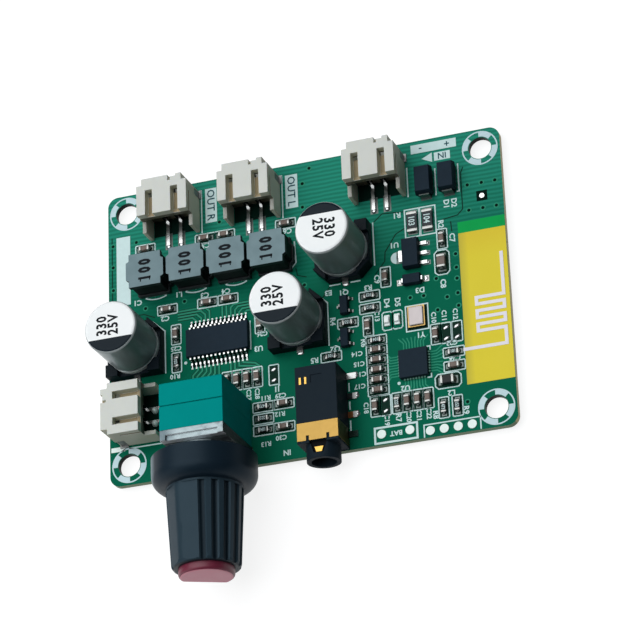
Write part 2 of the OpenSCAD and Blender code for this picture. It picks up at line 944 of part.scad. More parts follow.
module jack_housing() {
    color([0.13, 0.14, 0.16])
        at_jack()
            difference() {
                union() {
                    translate([0, jack_l / 2, 0])
                        block([jack_w, jack_l, jack_h]);
                    plug_axis(-nose_l, nose_l + 1, nose_r);
                }
                plug_axis(-nose_l - cut, plug_depth + cut, plug_r);
                shell_wrap(cut);
                translate([0, 0, window_floor])
                    linear_extrude(jack_h)
                        taper(shell_from, window_w, -window_l, window_end_w);
                jack_top_cuts();
                for (y = RIGHT_TERMINALS)
                    terminal_cut(1, y);
                for (y = LEFT_TERMINALS)
                    terminal_cut(-1, y);
            }
}

module jack_top_cuts() {
    for (x = PRONGS)
        translate([x, prong_y, jack_h - prong_h - prong_sunk - slip])
            block([prong_t + 2 * slip, prong_l + 2 * slip, jack_h]);
    translate([dimple_x, dimple_y, jack_h - dimple[2]])
        block([dimple[0], dimple[1], jack_h]);
}

module terminal_cut(side, y) {
    translate([side * (jack_w / 2 - terminal_in / 2 + cut / 2), y, -cut])
        block([terminal_in + cut + 2 * slip, terminal_w + 2 * slip, cut + terminal_t + slip]);
    translate([side * (jack_w / 2 - terminal_in + terminal_t / 2), y, -cut])
        block([terminal_t + 2 * slip, terminal_w + 2 * slip, cut + strip_h + slip]);
}

module jack_shell() {
    color("goldenrod")
        at_jack()
            difference() {
                shell_wrap(0);
                for (side = [-1, 1])
                    translate([side * shell_notch_x, shell_from + shell_notch_l / 2 - cut / 2, jack_h - 2 * shell_t])
                        block([shell_notch_w, shell_notch_l + cut, jack_h]);
                for (y = RIGHT_TERMINALS)
                    translate([jack_w / 2, y, -cut])
                        block([4 * shell_t, terminal_w + 2 * air, cut + terminal_t + air]);
            }
}

module jack_contacts() {
    foot_l = terminal_in + terminal_out;
    color("gold")
        at_jack() {
            for (y = RIGHT_TERMINALS)
                jack_terminal(1, y, foot_l);
            for (y = LEFT_TERMINALS)
                jack_terminal(-1, y, foot_l);
            for (x = PRONGS)
                translate([x, prong_y, jack_h - prong_h - prong_sunk])
                    block([prong_t, prong_l, prong_h]);
            translate([0, -spring_from, window_floor])
                linear_extrude(spring_t)
                    taper(0, spring_tip_w, -spring_tip_l, spring_end_w);
        }
}

module jack_terminal(side, y, length) {
    translate([side * (jack_w / 2 - terminal_in + length / 2), y, 0])
        block([length, terminal_w, terminal_t]);
    translate([side * (jack_w / 2 - terminal_in + terminal_t / 2), y, 0])
        block([terminal_t, terminal_w, strip_h]);
}

// Volume control: local Z runs forward along the shaft from the plate's front face.
module along_shaft() {
    translate([pot_x, pot_front, shaft_z])
        rotate([90, 0, 0])
            children();
}

module wafer(from, thick, hall) {
    difference() {
        translate([pot_x, from + thick / 2, top])
            block([pot_w, thick, pot_h]);
        translate([pot_x, from - cut, shaft_z])
            rotate([-90, 0, 0])
                cylinder(r = rotor_hall_r, h = hall + cut);
    }
}

module pot_front_wafer() {
    color("darkcyan")
        difference() {
            wafer(wafer_front, front_wafer_t, front_hall);
            translate([pot_x, wafer_front, shaft_z])
                rotate([-90, 0, 0])
                    cylinder(d = tail_d + 2 * air, h = front_wafer_t + cut);
            wafer_groove(wafer_split);
        }
}

module pot_rear_wafer() {
    color("darkcyan")
        difference() {
            wafer(wafer_split, rear_wafer_t, rear_hall);
            wafer_groove(pot_rear);
        }
}

// Shallow bevel along the top edge where two wafers meet.
module wafer_groove(y) {
    translate([pot_x, y, top + pot_h])
        rotate([45, 0, 0])
            cube([pot_w + 2 * cut, wafer_edge, wafer_edge], center = true);
}

module pot_front_plate() {
    bore_r = neck_d / 2 + run;
    color("silver")
        difference() {
            union() {
                translate([pot_x, pot_front + plate_t / 2, top])
                    block([pot_w, plate_t, pot_h]);
                along_shaft()
                    cylinder(d = bushing_d, h = bushing_l);
                for (dx = [-1, 1])
                    translate([pot_x + dx * (pot_w - lug_w) / 2, pot_front + plate_t / 2, -pin_below])
                        block([lug_w, lug_l, top + pin_below + cut]);
            }
            along_shaft()
                translate([0, 0, -plate_t - cut])
                    cylinder(r = bore_r, h = plate_t + bushing_l + 2 * cut);
            translate([pot_x, pot_front, top + pot_h - plate_top_step])
                block([pot_w - 2 * lug_w, plate_t, 2 * plate_top_step]);
        }
}

module pot_terminals() {
    color("silver")
        for (y = PIN_ROWS)
            for (i = [-1 : 1])
                translate([pot_x + i * pin_pitch, y, -pin_below])
                    block([pin_w, pin_w, top + pin_below]);
}

// The shaft turns in the bushing and carries both rotors.
tail_from = -(plate_t + front_wafer_t + rear_hall - air);
module pot_shaft() {
    neck_from = -plate_t - air;
    color("gainsboro")
        along_shaft() {
            translate([0, 0, tail_from])
                cylinder(d = tail_d, h = neck_from - tail_from + cut);
            translate([0, 0, neck_from])
                cylinder(d = neck_d, h = bushing_l + air - neck_from);
            translate([0, 0, bushing_l + air])
                cylinder(d = shaft_d, h = shaft_l - bushing_l - air);
        }
}

module pot_rotors() {
    color("ivory")
        along_shaft()
            for (z = [-plate_t - air - rotor_t, -plate_t - front_wafer_t - air - rotor_t])
                translate([0, 0, z])
                    difference() {
                        cylinder(r = rotor_hall_r - air, h = rotor_t);
                        translate([0, 0, -cut])
                            cylinder(d = tail_d + 2 * slip, h = rotor_t + 2 * cut);
                    }
}

// Knob: local Z runs forward from the rear rim.
module at_knob() {
    along_shaft()
        translate([0, 0, knob_from])
            children();
}

module knob_profile() {
    skirt_r = skirt_d / 2;
    square([skirt_r, skirt_l - shoulder_r]);
    square([skirt_r - shoulder_r, skirt_l]);
    translate([skirt_r - shoulder_r, skirt_l - shoulder_r])
        circle(shoulder_r);
    polygon([
        [0, 0], [grip_d / 2, skirt_l - shoulder_r], [grip_d / 2, skirt_l],
        [grip_tip_d / 2, knob_l - tip_edge], [grip_tip_d / 2 - tip_edge, knob_l], [0, knob_l]
    ]);
    translate([grip_tip_d / 2 - tip_edge, knob_l - tip_edge])
        circle(tip_edge);
}

// What a cap of radius r keeps when its flat is cut at this distance from the middle
module cap_flat_cut(r, flat_at, high) {
    rotate([0, 0, -cap_turn])
        difference() {
            children();
            translate([-r - cut, flat_at, -cut])
                cube([2 * (r + cut), r + cut, high + 2 * cut]);
        }
}

module knob() {
    taper = atan((grip_d - grip_tip_d) / 2 / (knob_l - skirt_l));
    flute_from = skirt_l + 0.3;
    color([0.13, 0.15, 0.18])
        at_knob()
            difference() {
                rotate_extrude()
                    knob_profile();
                translate([0, 0, -cut])
                    cylinder(r = recess_r, h = recess_l + cut);
                cylinder(d = shaft_d + 2 * slip, h = hub_l);
                translate([0, 0, knob_l - cap_seat])
                    cap_flat_cut(cap_r + slip, cap_flat + slip, cap_seat + cut)
                        cylinder(r = cap_r + slip, h = cap_seat + cut);
                rotate([0, 0, pointer_turn]) {
                    for (i = [0 : FLUTES - 1])
                        rotate([0, 0, -flute_start - i * flute_pitch])
                            translate([0, grip_d / 2 + flute_r - flute_depth, flute_from])
                                rotate([taper, 0, 0])
                                    cylinder(r = flute_r, h = knob_l, $fn = 32);
                    for (side = [-1, 1])
                        rotate([0, 0, side * panel_turn])
                            translate([0, grip_d / 2 - panel_depth, flute_from])
                                rotate([taper, 0, 0])
                                    translate([-panel_w / 2, 0, 0])
                                        cube([panel_w, 2, knob_l]);
                }
            }
}

module cap_profile() {
    cap_h = cap_seat + cap_out;
    square([cap_r, cap_h - cap_edge]);
    square([cap_r - cap_edge, cap_h]);
    translate([cap_r - cap_edge, cap_h - cap_edge])
        circle(cap_edge);
}

module knob_cap() {
    color([0.72, 0.3, 0.38])
        at_knob()
            translate([0, 0, knob_l - cap_seat])
                cap_flat_cut(cap_r, cap_flat, cap_seat + cap_out)
                    rotate_extrude()
                        cap_profile();
}

pcb();
antenna_trace();
solder_pads();
socket_housing(0);  // speaker_right_housing
socket_housing(1);  // speaker_left_housing
socket_housing(2);  // power_housing
socket_housing(3);  // side_housing
socket_contacts();
socket_tabs();
inductor_core(0);  // inductor_1_core
inductor_core(1);  // inductor_2_core
inductor_core(2);  // inductor_3_core
inductor_core(3);  // inductor_4_core
inductor_winding(0);  // inductor_1_winding
inductor_winding(1);  // inductor_2_winding
inductor_winding(2);  // inductor_3_winding
inductor_winding(3);  // inductor_4_winding
inductor_terminals();
capacitor_can(0);  // capacitor_1_can
capacitor_can(1);  // capacitor_2_can
capacitor_can(2);  // capacitor_3_can
capacitor_seat(0);  // capacitor_1_seat
capacitor_seat(1);  // capacitor_2_seat
capacitor_seat(2);  // capacitor_3_seat
capacitor_leads();
amplifier_body();
amplifier_leads();
radio_chip_body();
radio_chip_toes();
crystal_base();
crystal_lid();
regulator_body();
regulator_leads();
small_diode_body();
small_diode_leads();
transistor_bodies();
transistor_leads();
power_diode_bodies();
power_diode_terminals();
large_resistor_bodies();
chip_resistor_bodies();
resistor_ends();
chip_capacitor_bodies();
chip_capacitor_ends();
bead_body();
bead_ends();
led_bases();
led_lenses();
jack_housing();
jack_shell();
jack_contacts();
pot_front_wafer();
pot_rear_wafer();
pot_front_plate();
pot_terminals();
pot_shaft();
pot_rotors();
knob();
knob_cap();
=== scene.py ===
import math

import bmesh
import bpy
from mathutils import Matrix, Vector


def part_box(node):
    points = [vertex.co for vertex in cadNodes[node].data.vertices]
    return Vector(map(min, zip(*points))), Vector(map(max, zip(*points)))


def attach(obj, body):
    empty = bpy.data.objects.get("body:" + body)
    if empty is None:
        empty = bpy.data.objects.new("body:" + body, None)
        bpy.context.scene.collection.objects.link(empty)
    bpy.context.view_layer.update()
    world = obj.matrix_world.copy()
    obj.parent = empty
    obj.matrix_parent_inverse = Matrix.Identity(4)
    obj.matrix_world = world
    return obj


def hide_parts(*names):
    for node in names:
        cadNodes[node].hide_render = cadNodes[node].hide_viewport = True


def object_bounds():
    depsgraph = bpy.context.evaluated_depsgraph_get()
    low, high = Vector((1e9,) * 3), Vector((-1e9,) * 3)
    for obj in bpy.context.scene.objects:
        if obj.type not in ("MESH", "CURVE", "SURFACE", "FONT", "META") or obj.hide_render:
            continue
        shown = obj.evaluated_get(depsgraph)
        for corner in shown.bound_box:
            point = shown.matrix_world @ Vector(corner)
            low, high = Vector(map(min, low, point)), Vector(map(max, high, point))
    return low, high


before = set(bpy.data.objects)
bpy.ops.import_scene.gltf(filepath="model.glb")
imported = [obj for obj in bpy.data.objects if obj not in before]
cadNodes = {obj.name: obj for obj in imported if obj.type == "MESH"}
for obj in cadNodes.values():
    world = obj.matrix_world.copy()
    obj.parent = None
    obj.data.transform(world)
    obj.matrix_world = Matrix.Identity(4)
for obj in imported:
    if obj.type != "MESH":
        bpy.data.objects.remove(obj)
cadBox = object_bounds()
mm = 0.001
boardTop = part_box("pcb")[1].z
print("frame loaded:", len(cadNodes), "nodes")


def newObject(name, data):
    made = bpy.data.objects.new(name, data)
    bpy.context.scene.collection.objects.link(made)
    return made


def mergedCopy(node):
    bm = bmesh.new()
    bm.from_mesh(cadNodes[node].data)
    bmesh.ops.remove_doubles(bm, verts=bm.verts, dist=0.0008 * mm)
    return bm


def solidBoxes(node):
    # lowest and highest corner of each separate solid of a node
    bm = mergedCopy(node)
    left = set(bm.verts)
    boxes = []
    while left:
        group, grown = set(), [left.pop()]
        while grown:
            vert = grown.pop()
            group.add(vert)
            for edge in vert.link_edges:
                other = edge.other_vert(vert)
                if other in left:
                    left.remove(other)
                    grown.append(other)
        low = Vector([min(v.co[i] for v in group) for i in range(3)])
        high = Vector([max(v.co[i] for v in group) for i in range(3)])
        boxes.append((low, high))
    bm.free()
    # a set of vertices has no fixed order, so the boxes are put in one
    return sorted(boxes, key=lambda pair: [round(value / mm, 2) for value in pair[0]])


def jackFeet():
    # the jack's contacts that lie on the board
    return [(low, high) for low, high in solidBoxes("jack_contacts") if low.z - boardTop < 0.5 * mm]


# camera, light and floor

viewSetup = {
    "place": (121.34, -164.02, 357.65),     # mm, in the board's frame
    "right": (0.94280684, -0.03653122, -0.33133175),
    "up": (0.16262155, 0.91807355, 0.3615179),
    "lens": 160.65,
    "sensor": 36.0,
}


def makeCamera():
    data = bpy.data.cameras.new("photoCamera")
    data.sensor_width = viewSetup["sensor"]
    data.lens = viewSetup["lens"]
    data.clip_start = 0.01
    camera = newObject("photoCamera", data)
    right = Vector(viewSetup["right"]).normalized()
    up = Vector(viewSetup["up"]).normalized()
    turned = Matrix((right, up, right.cross(up))).transposed().to_4x4()
    camera.matrix_world = Matrix.Translation(Vector(viewSetup["place"]) * mm) @ turned
    bpy.context.scene.camera = camera


studio = {
    "worldColor": (0.92, 0.97, 1.0, 1),
    "worldStrength": 0.08,
    # direction, distance and size in metres, power
    "keyBox": ((-0.28, 0.12, 0.952), 0.62, 0.9, 4.8),       # large soft box overhead
    "fillBox": ((-0.74, -0.58, 0.34), 0.6, 0.45, 0.6),      # small help from the left
    "floorColor": (0.25, 0.255, 0.26, 1),
    "floorGlow": 0.85,
    "floorHalf": 3.0,
}


def softBox(name):
    towards, away, size, power = studio[name]
    data = bpy.data.lights.new(name, "AREA")
    data.shape = "DISK"
    data.size = size
    data.energy = power
    lamp = newObject(name, data)
    towards = Vector(towards).normalized()
    lamp.location = towards * away
    lamp.rotation_euler = towards.to_track_quat("Z", "Y").to_euler()


def makeStudio():
    world = bpy.data.worlds.new("studioAir")
    world.use_nodes = True
    air = world.node_tree.nodes["Background"]
    air.inputs["Color"].default_value = studio["worldColor"]
    air.inputs["Strength"].default_value = studio["worldStrength"]
    bpy.context.scene.world = world
    bpy.context.scene.view_settings.view_transform = "Standard"
    softBox("keyBox")
    softBox("fillBox")


def makeFloor():
    # pale to the camera and in reflections, and it keeps the object's shadow
    mesh = bpy.data.meshes.new("floor")
    half, low = studio["floorHalf"], cadBox[0].z
    mesh.from_pydata([(-half, -half, low), (half, -half, low), (half, half, low), (-half, half, low)],
                     [], [(0, 1, 2, 3)])
    floor = newObject("floor", mesh)
    paper = bpy.data.materials.new("paperFloor")
    paper.use_nodes = True
    tree = paper.node_tree
    shader = tree.nodes["Principled BSDF"]
    for key, value in (("Base Color", studio["floorColor"]), ("Roughness", 1.0), ("Specular IOR Level", 0.0),
                       ("Emission Color", (1, 1, 1, 1))):
        shader.inputs[key].default_value = value
    rays = tree.nodes.new("ShaderNodeLightPath")
    glow = shader.inputs["Emission Strength"]
    for kind in ("Is Camera Ray", "Is Glossy Ray", "Is Transmission Ray"):
        level = tree.nodes.new("ShaderNodeMath")
        level.operation = "MULTIPLY_ADD"
        level.inputs[1].default_value = studio["floorGlow"]
        level.inputs[2].default_value = 0.0
        tree.links.new(rays.outputs[kind], level.inputs[0])
        tree.links.new(level.outputs[0], glow)
        glow = level.inputs[2]
    mesh.materials.append(paper)


makeCamera()
makeStudio()
makeFloor()
print("camera and studio ready")


# materials

def tone(color):
    # screen colour, 0 to 255, to Blender's linear colour
    return tuple(c / 12.92 if c <= 0.04045 else ((c + 0.055) / 1.055) ** 2.4
                 for c in (part / 255 for part in color)) + (1.0,)


class Finish:
    # a Principled material whose colour, roughness and relief come from noise on Object coordinates
    def __init__(self, name, color, rough, metal=0.0, specular=0.5, mottle=0.1, mottleScale=700.0,
                 roughSpread=0.08, grain=0.25, grainScale=5000.0, grainDepth=0.01):
        self.material = bpy.data.materials.new(name)
        self.material.use_nodes = True
        self.tree = self.material.node_tree
        self.shader = self.tree.nodes["Principled BSDF"]
        self.coords = self.add("ShaderNodeTexCoord")
        self.drive("Metallic", metal)
        self.drive("Specular IOR Level", specular)
        dark, light = [tuple(min(1.0, c * share) for c in tone(color)[:3]) + (1.0,)
                       for share in (1 - mottle, 1 + mottle)]
        self.color = self.mix(dark, light, self.noise(mottleScale, 4))
        self.drive("Base Color", self.color)
        self.drive("Roughness", self.ramp(self.noise(mottleScale * 2.3, 3), 0.0, 1.0,
                                          min(1.0, rough + roughSpread), max(0.02, rough - roughSpread)))
        relief = self.add("ShaderNodeBump", {"Strength": grain, "Distance": grainDepth * mm,
                                             "Height": self.noise(grainScale, 2)})
        self.drive("Normal", relief.outputs["Normal"])

    def feed(self, socket, value):
        # a value, or what another node gives
        if isinstance(value, bpy.types.NodeSocket):
            self.tree.links.new(value, socket)
        else:
            socket.default_value = value

    def drive(self, key, value):
        self.feed(self.shader.inputs[key], value)

    def add(self, kind, values=None):
        node = self.tree.nodes.new(kind)
        for key, value in (values or {}).items():
            self.feed(node.inputs[key], value)
        return node

    def noise(self, scale, detail):
        return self.add("ShaderNodeTexNoise", {"Vector": self.coords.outputs["Object"], "Scale": scale,
                                               "Detail": detail}).outputs["Fac"]

    def mix(self, first, second, factor):
        node = self.add("ShaderNodeMix")
        node.data_type = "RGBA"
        for socket, value in zip([s for s in node.inputs if s.type == "RGBA"], (first, second)):
            self.feed(socket, value)
        self.feed(node.inputs["Factor"], factor)
        return [s for s in node.outputs if s.type == "RGBA"][0]

    def over(self, color, mask):
        # lays a screen colour, or one that a node gives, over what is there, where mask is 1
        color = tone(color) if isinstance(color, tuple) else color
        self.color = self.mix(self.color, color, mask)
        self.drive("Base Color", self.color)

    def math(self, operation, *values):
        node = self.add("ShaderNodeMath")
        node.operation = operation
        for socket, value in zip(node.inputs, values):
            self.feed(socket, value)
        return node.outputs[0]

    def axis(self, source, letter):
        return self.add("ShaderNodeSeparateXYZ", {"Vector": self.coords.outputs[source]}).outputs[letter]

    def ramp(self, value, start, end, most=1.0, least=0.0):
        # least at start, most at end
        return self.add("ShaderNodeMapRange", {"Value": value, "From Min": start, "From Max": end,
                                               "To Min": least, "To Max": most}).outputs["Result"]

    # masks, 1 inside and 0 outside

    def above(self, source, letter, limit):
        return self.math("GREATER_THAN", self.axis(source, letter), limit)

    def below(self, source, letter, limit):
        return self.math("LESS_THAN", self.axis(source, letter), limit)

    def near(self, source, letter, middle, reach):
        away = self.math("SUBTRACT", self.axis(source, letter), middle)
        return self.math("LESS_THAN", self.math("ABSOLUTE", away), reach)

    def both(self, mask, *others):
        for other in others:
            mask = self.math("MULTIPLY", mask, other)
        return mask


maskLook = {
    "front": (0, 89, 67), "rear": (26, 108, 90), "band": (32, 128, 108),
    "rearFrom": (2.0, 19.0),                # mm in Y over which the painted sheen of the rear comes in
    "edge": (130, 146, 118), "rightEdgeLight": (210, 196, 150),
    "hole": (9, 18, 15), "holesFrom": 0.6,  # painted shade on the hole walls; holesFrom is mm in from the board's edges
    "ring": (196, 203, 200), "ringRadius": 0.95,
}


def solderMask():
    # green lacquer: faint bands over the copper, painted sheen towards the rear, laminate colour on the cut
    # edges, painted light on the right edge and painted shade on the hole walls
    look = maskLook
    made = Finish("solderMask", look["front"], 0.4, metal=0.2, specular=0.03, mottle=0.1, mottleScale=160,
                  roughSpread=0.04, grain=0.12, grainScale=2600, grainDepth=0.006)
    place = made.coords.outputs["Object"]
    bands = made.add("ShaderNodeTexWave", {"Vector": place, "Scale": 480, "Distortion": 1.2, "Detail": 1.0})
    bands.wave_type = "BANDS"
    bands.bands_direction = "Y"
    # painted sheen: the lacquer turns lighter towards the rear, and the bands show only there
    rear = made.ramp(made.axis("Object", "Y"), *[y * mm for y in look["rearFrom"]])
    made.over(look["rear"], rear)
    made.over(look["band"], made.both(bands.outputs["Fac"], rear))
    edge = made.near("Normal", "Z", 0.0, 0.5)
    made.over(look["edge"], edge)
    # painted light on the edge that faces right
    made.over(look["rightEdgeLight"], made.above("Normal", "X", 0.7))
    low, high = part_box("pcb")
    inside = [made.near("Object", letter, 0.0, limit - look["holesFrom"] * mm)
              for letter, limit in (("X", high.x), ("Y", high.y))]
    # painted shade on the walls of the screw holes
    made.over(look["hole"], made.both(edge, *inside))
    under = made.below("Normal", "Z", -0.5)
    for least, most in solidBoxes("pot_terminals"):        # tinned rings round the pins on the underside
        pin = (least + most) / 2
        away = made.add("ShaderNodeVectorMath")
        away.operation = "DISTANCE"
        made.feed(away.inputs[0], place)
        made.feed(away.inputs[1], (pin.x, pin.y, low.z))
        ring = made.math("LESS_THAN", away.outputs["Value"], look["ringRadius"] * mm)
        made.over(look["ring"], made.both(ring, under))
    return made.material


laminateLook = {
    "color": (222, 206, 46),
    "rear": (216, 184, 38), "rearFrom": (3.0, 7.5), "rearShare": 0.55,       # mm in Y
    "left": (168, 160, 60), "leftFrom": (24.8, 23.5), "leftShare": 0.6,      # mm in X; painted shade along the field's left side
}


def laminate():
    # yellow board without lacquer, darker towards its rear end, with painted shade along its left side
    look = laminateLook
    made = Finish("laminate", look["color"], 0.5, specular=0.2, mottle=0.06, mottleScale=90,
                  grain=0.2, grainScale=2400, grainDepth=0.008)
    # the rear is darker, and the left side gets painted shade
    for side, letter in (("rear", "Y"), ("left", "X")):
        start, end = look[side + "From"]
        made.over(look[side], made.ramp(made.axis("Object", letter), start * mm, end * mm, look[side + "Share"]))
    return made.material


nylonLook = {
    "color": (206, 210, 205), "wallTintAndShade": (190, 192, 176), "leg": (158, 160, 153), "grooveShade": (152, 138, 108),
    "under": (92, 90, 76),
    "grooves": (0.3, 1.6), "underFrom": 1.2,    # mm below the roof
    "behind": 1.0,                              # mm from the foot
}


def socketNylon():
    # white plastic: yellower side walls in painted shade, brown painted shade on the grooves' floors, painted
    # shade on its legs and under its roof
    look = nylonLook
    made = Finish("socketNylon", look["color"], 0.5, specular=0.3, mottle=0.035, mottleScale=420,
                  grain=0.22, grainScale=3600, grainDepth=0.012)
    made.drive("Subsurface Weight", 0.12)
    made.drive("Subsurface Radius", (1.0, 0.75, 0.4))
    made.drive("Subsurface Scale", 0.0006)
    foot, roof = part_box("power_housing")
    shallow, deep = (roof.z - depth * mm for depth in look["grooves"])
    up = made.above("Normal", "Z", 0.8)
    # side walls: yellower nylon, and painted shade
    made.over(look["wallTintAndShade"], made.near("Normal", "Z", 0.0, 0.3))
    # painted shade on the low parts of the legs
    made.over(look["leg"], made.both(up, made.below("Object", "Z", deep)))
    # painted shade, warm through the nylon, on the grooves' floors
    made.over(look["grooveShade"], made.both(up, made.below("Object", "Z", shallow), made.above("Object", "Z", deep)))
    behind = look["behind"] * mm
    # painted shade on the walls under the roof
    under = made.below("Object", "Z", roof.z - look["underFrom"] * mm)
    made.over(look["under"], made.both(under, made.above("Object", "Y", foot.y + behind),
                                       made.below("Normal", "Y", -0.7)))
    made.over(look["under"], made.both(under, made.below("Object", "X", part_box("side_housing")[1].x - behind),
                                       made.below("Object", "Y", 0.0), made.above("Normal", "X", 0.7)))
    return made.material


ferriteLook = {"side": (26, 31, 35), "ground": ((90, 115, 122), (121, 146, 153)), "groundDeep": 0.3}


def ferrite():
    # ground top faces are pale, everything else is dark
    look = ferriteLook
    made = Finish("ferrite", look["side"], 0.5, specular=0.3, mottle=0.2, mottleScale=900,
                  grain=0.4, grainScale=4200, grainDepth=0.02)
    ground = made.mix(*[tone(color) for color in look["ground"]], made.noise(520, 5))
    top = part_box("inductor_1_core")[1].z - look["groundDeep"] * mm
    made.over(ground, made.both(made.above("Normal", "Z", 0.75), made.above("Object", "Z", top)))
    return made.material


canLook = {
    "side": (132, 144, 147), "metal": 0.4,
    "lit": (252, 255, 254), "litFrom": (-0.5, -0.9),         # painted light where it faces left
    # painted highlight on the bead near the foot
    "foot": (196, 204, 206), "footHighlightHigh": 0.7,
    # white top with a black segment, and painted shade on its rounded rim
    "white": ((240, 246, 248), (250, 253, 254)), "black": (8, 25, 35), "rim": (158, 166, 168), "topDeep": 0.42,
    "segments": {1: (-1, 1.8), 2: (-1, 1.95), 3: (1, 2.1)},  # side of the black one, mm from the middle
}


def canFinish(number):
    # drawn metal side with painted light on its left and a painted highlight at its foot, white lacquered top
    # with a black segment and painted shade on its rim
    look = canLook
    side, chord = look["segments"][number]
    low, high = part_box("capacitor_%d_can" % number)
    made = Finish("canFinish%d" % number, look["side"], 0.32, metal=look["metal"], specular=0.1, mottle=0.06,
                  mottleScale=260, roughSpread=0.05, grain=0.12, grainScale=900, grainDepth=0.008)
    # painted light on the side that faces left
    made.over(look["lit"], made.ramp(made.axis("Normal", "X"), *look["litFrom"]))
    # painted highlight on the bead near the foot
    made.over(look["foot"], made.below("Object", "Z", low.z + look["footHighlightHigh"] * mm))
    onTop = made.above("Object", "Z", high.z - look["topDeep"] * mm)
    made.over(made.mix(*[tone(color) for color in look["white"]], made.noise(380, 3)), onTop)
    across = made.math("SUBTRACT", made.axis("Object", "Y"), ((low + high) / 2).y)
    black = made.math("GREATER_THAN", made.math("MULTIPLY", across, side), chord * mm)
    made.over(look["black"], made.both(onTop, black))
    # painted shade on the top's rounded rim
    made.over(look["rim"], made.both(onTop, made.below("Normal", "Z", 0.75)))
    made.drive("Metallic", made.math("MULTIPLY", made.math("SUBTRACT", 1.0, onTop), look["metal"]))
    return made.material


# gold plating, with painted shade for its right side
goldLook = {"color": (166, 134, 70), "right": (92, 76, 36)}


def goldPlate():
    made = Finish("goldPlate", goldLook["color"], 0.42, metal=0.85, mottle=0.09, mottleScale=500,
                  roughSpread=0.06, grain=0.12, grainScale=1800, grainDepth=0.006)
    # painted shade on its right side
    made.over(goldLook["right"], made.above("Normal", "X", 0.6))
    return made.material


jackLook = {
    "shade": (24, 36, 45), "slot": (5, 6, 8),
    # painted shade of a sunk window in the nose, mm
    "rearHalf": 1.3, "frontHalf": 0.7, "slotLong": 1.85, "slotDeep": 0.65, "spare": 0.02,
}


def jackPlastic():
    # black plastic, with painted shade where a sunk window over the spring lies
    look = jackLook
    made = Finish("jackPlastic", look["shade"], 0.55, specular=0.06, mottle=0.08, mottleScale=420,
                  grain=0.3, grainScale=4200, grainDepth=0.012)
    low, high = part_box("jack_housing")
    ahead = made.math("SUBTRACT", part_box("jack_shell")[0].y, made.axis("Object", "Y"))
    narrowed = made.math("MULTIPLY", ahead, (look["rearHalf"] - look["frontHalf"]) / look["slotLong"])
    half = made.math("SUBTRACT", (look["rearHalf"] + look["spare"]) * mm, narrowed)
    # painted shade of the sunk window
    made.over(look["slot"], made.both(
        made.near("Object", "X", (low.x + high.x) / 2, half),
        made.math("LESS_THAN", ahead, (look["slotLong"] + look["spare"]) * mm),
        made.math("GREATER_THAN", ahead, 0.0),
        made.above("Object", "Z", high.z - look["slotDeep"] * mm)))
    return made.material


socketLeadLook = {"foot": (206, 208, 208), "shaded": (58, 60, 58), "shadedFrom": 1.0}


def socketLeads():
    # bright feet, painted shade where the leads rise under the socket's roof
    look = socketLeadLook
    made = Finish("socketLeads", look["foot"], 0.24, metal=1.0, mottle=0.12, mottleScale=1500)
    made.over(look["shaded"], made.above("Object", "Z", boardTop + look["shadedFrom"] * mm))
    return made.material


contactLook = {
    "gold": (196, 158, 80),
    "strip": (150, 116, 84), "stripTop": 3.6, "foot": (176, 178, 178), "footTop": 0.3,      # mm over the board
    # the three feet on the right, from the front: colour, and bright end in mm
    "right": (((30, 44, 40), 0.0), ((120, 78, 48), 0.6), ((44, 50, 52), 0.6)),
    "halfFoot": 0.8,
}


def jackContacts():
    # gold inside the jack, bare copper strips, tinned feet
    look = contactLook
    made = Finish("jackContacts", look["gold"], 0.3, metal=1.0, mottle=0.1, mottleScale=900)
    for part in ("strip", "foot"):
        made.over(look[part], made.below("Object", "Z", boardTop + look[part + "Top"] * mm))
    side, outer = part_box("jack_housing")[1].x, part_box("jack_contacts")[1].x
    right = sorted((low.y + high.y) / 2 for low, high in jackFeet() if high.x > side)
    for y, (color, bare) in zip(right, look["right"]):
        made.over(color, made.both(made.near("Object", "Y", y, look["halfFoot"] * mm),
                                   made.below("Object", "X", outer - bare * mm)))
    return made.material


crystalLook = {"base": (24, 24, 26), "rim": (176, 148, 92)}


def crystalBase():
    # plated rim on a black ceramic base
    made = Finish("crystalBase", crystalLook["base"], 0.4, specular=0.3, mottle=0.1, mottleScale=900)
    up = made.above("Normal", "Z", 0.8)
    made.over(crystalLook["rim"], up)
    made.drive("Metallic", up)
    return made.material


plateLook = {
    "color": (154, 169, 173), "smudge": (112, 124, 130), "smudgeFrom": (0.52, 0.66),
    "left": (84, 100, 108), "leftFrom": (2.6, 0.8), "leftShare": 0.8,        # painted shade towards the left end; leftFrom in mm from its left end
    # painted shade on the right side, and a painted highlight on the front lip
    "right": (58, 66, 70), "lip": (246, 250, 255), "lipHighlightHigh": 1.3,
}


def castPlate():
    # bright die casting with smudges, painted shade on both ends and a painted highlight on its front lip
    look = plateLook
    made = Finish("castPlate", look["color"], 0.46, metal=0.6, specular=0.3, mottle=0.1, mottleScale=640,
                  roughSpread=0.14, grain=0.6, grainScale=1100, grainDepth=0.03)
    made.over(look["smudge"], made.ramp(made.noise(520, 6), *look["smudgeFrom"]))
    low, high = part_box("pot_front_plate")
    start, end = (low.x + x * mm for x in look["leftFrom"])
    # painted shade on both ends
    made.over(look["left"], made.ramp(made.axis("Object", "X"), start, end, look["leftShare"]))
    made.over(look["right"], made.above("Normal", "X", 0.6))
    # painted highlight on the upper front face
    made.over(look["lip"], made.both(made.below("Normal", "Y", -0.7),
                                     made.above("Object", "Z", high.z - look["lipHighlightHigh"] * mm)))
    return made.material


knobLook = {
    # the skirt's colour and the grooves' colour are painted shade
    "grip": (38, 54, 64), "skirt": (18, 32, 43), "grooveShade": (9, 21, 29), "gleam": (0.62, 0.84, 1.0, 1.0),
    "skirtLeftLight": (150, 172, 182), "skirtLeftLightFrom": (-0.72, -1.0),     # painted light on the left side of the skirt
    "skirtLong": 4.6,                       # mm from the rear rim
    "rootRadius": 5.5, "tipRadius": 4.9,    # of the tapered grip, mm
    "sunk": (0.22, 0.32),                   # depth where the painted shade in the grooves starts, and where it is full
}


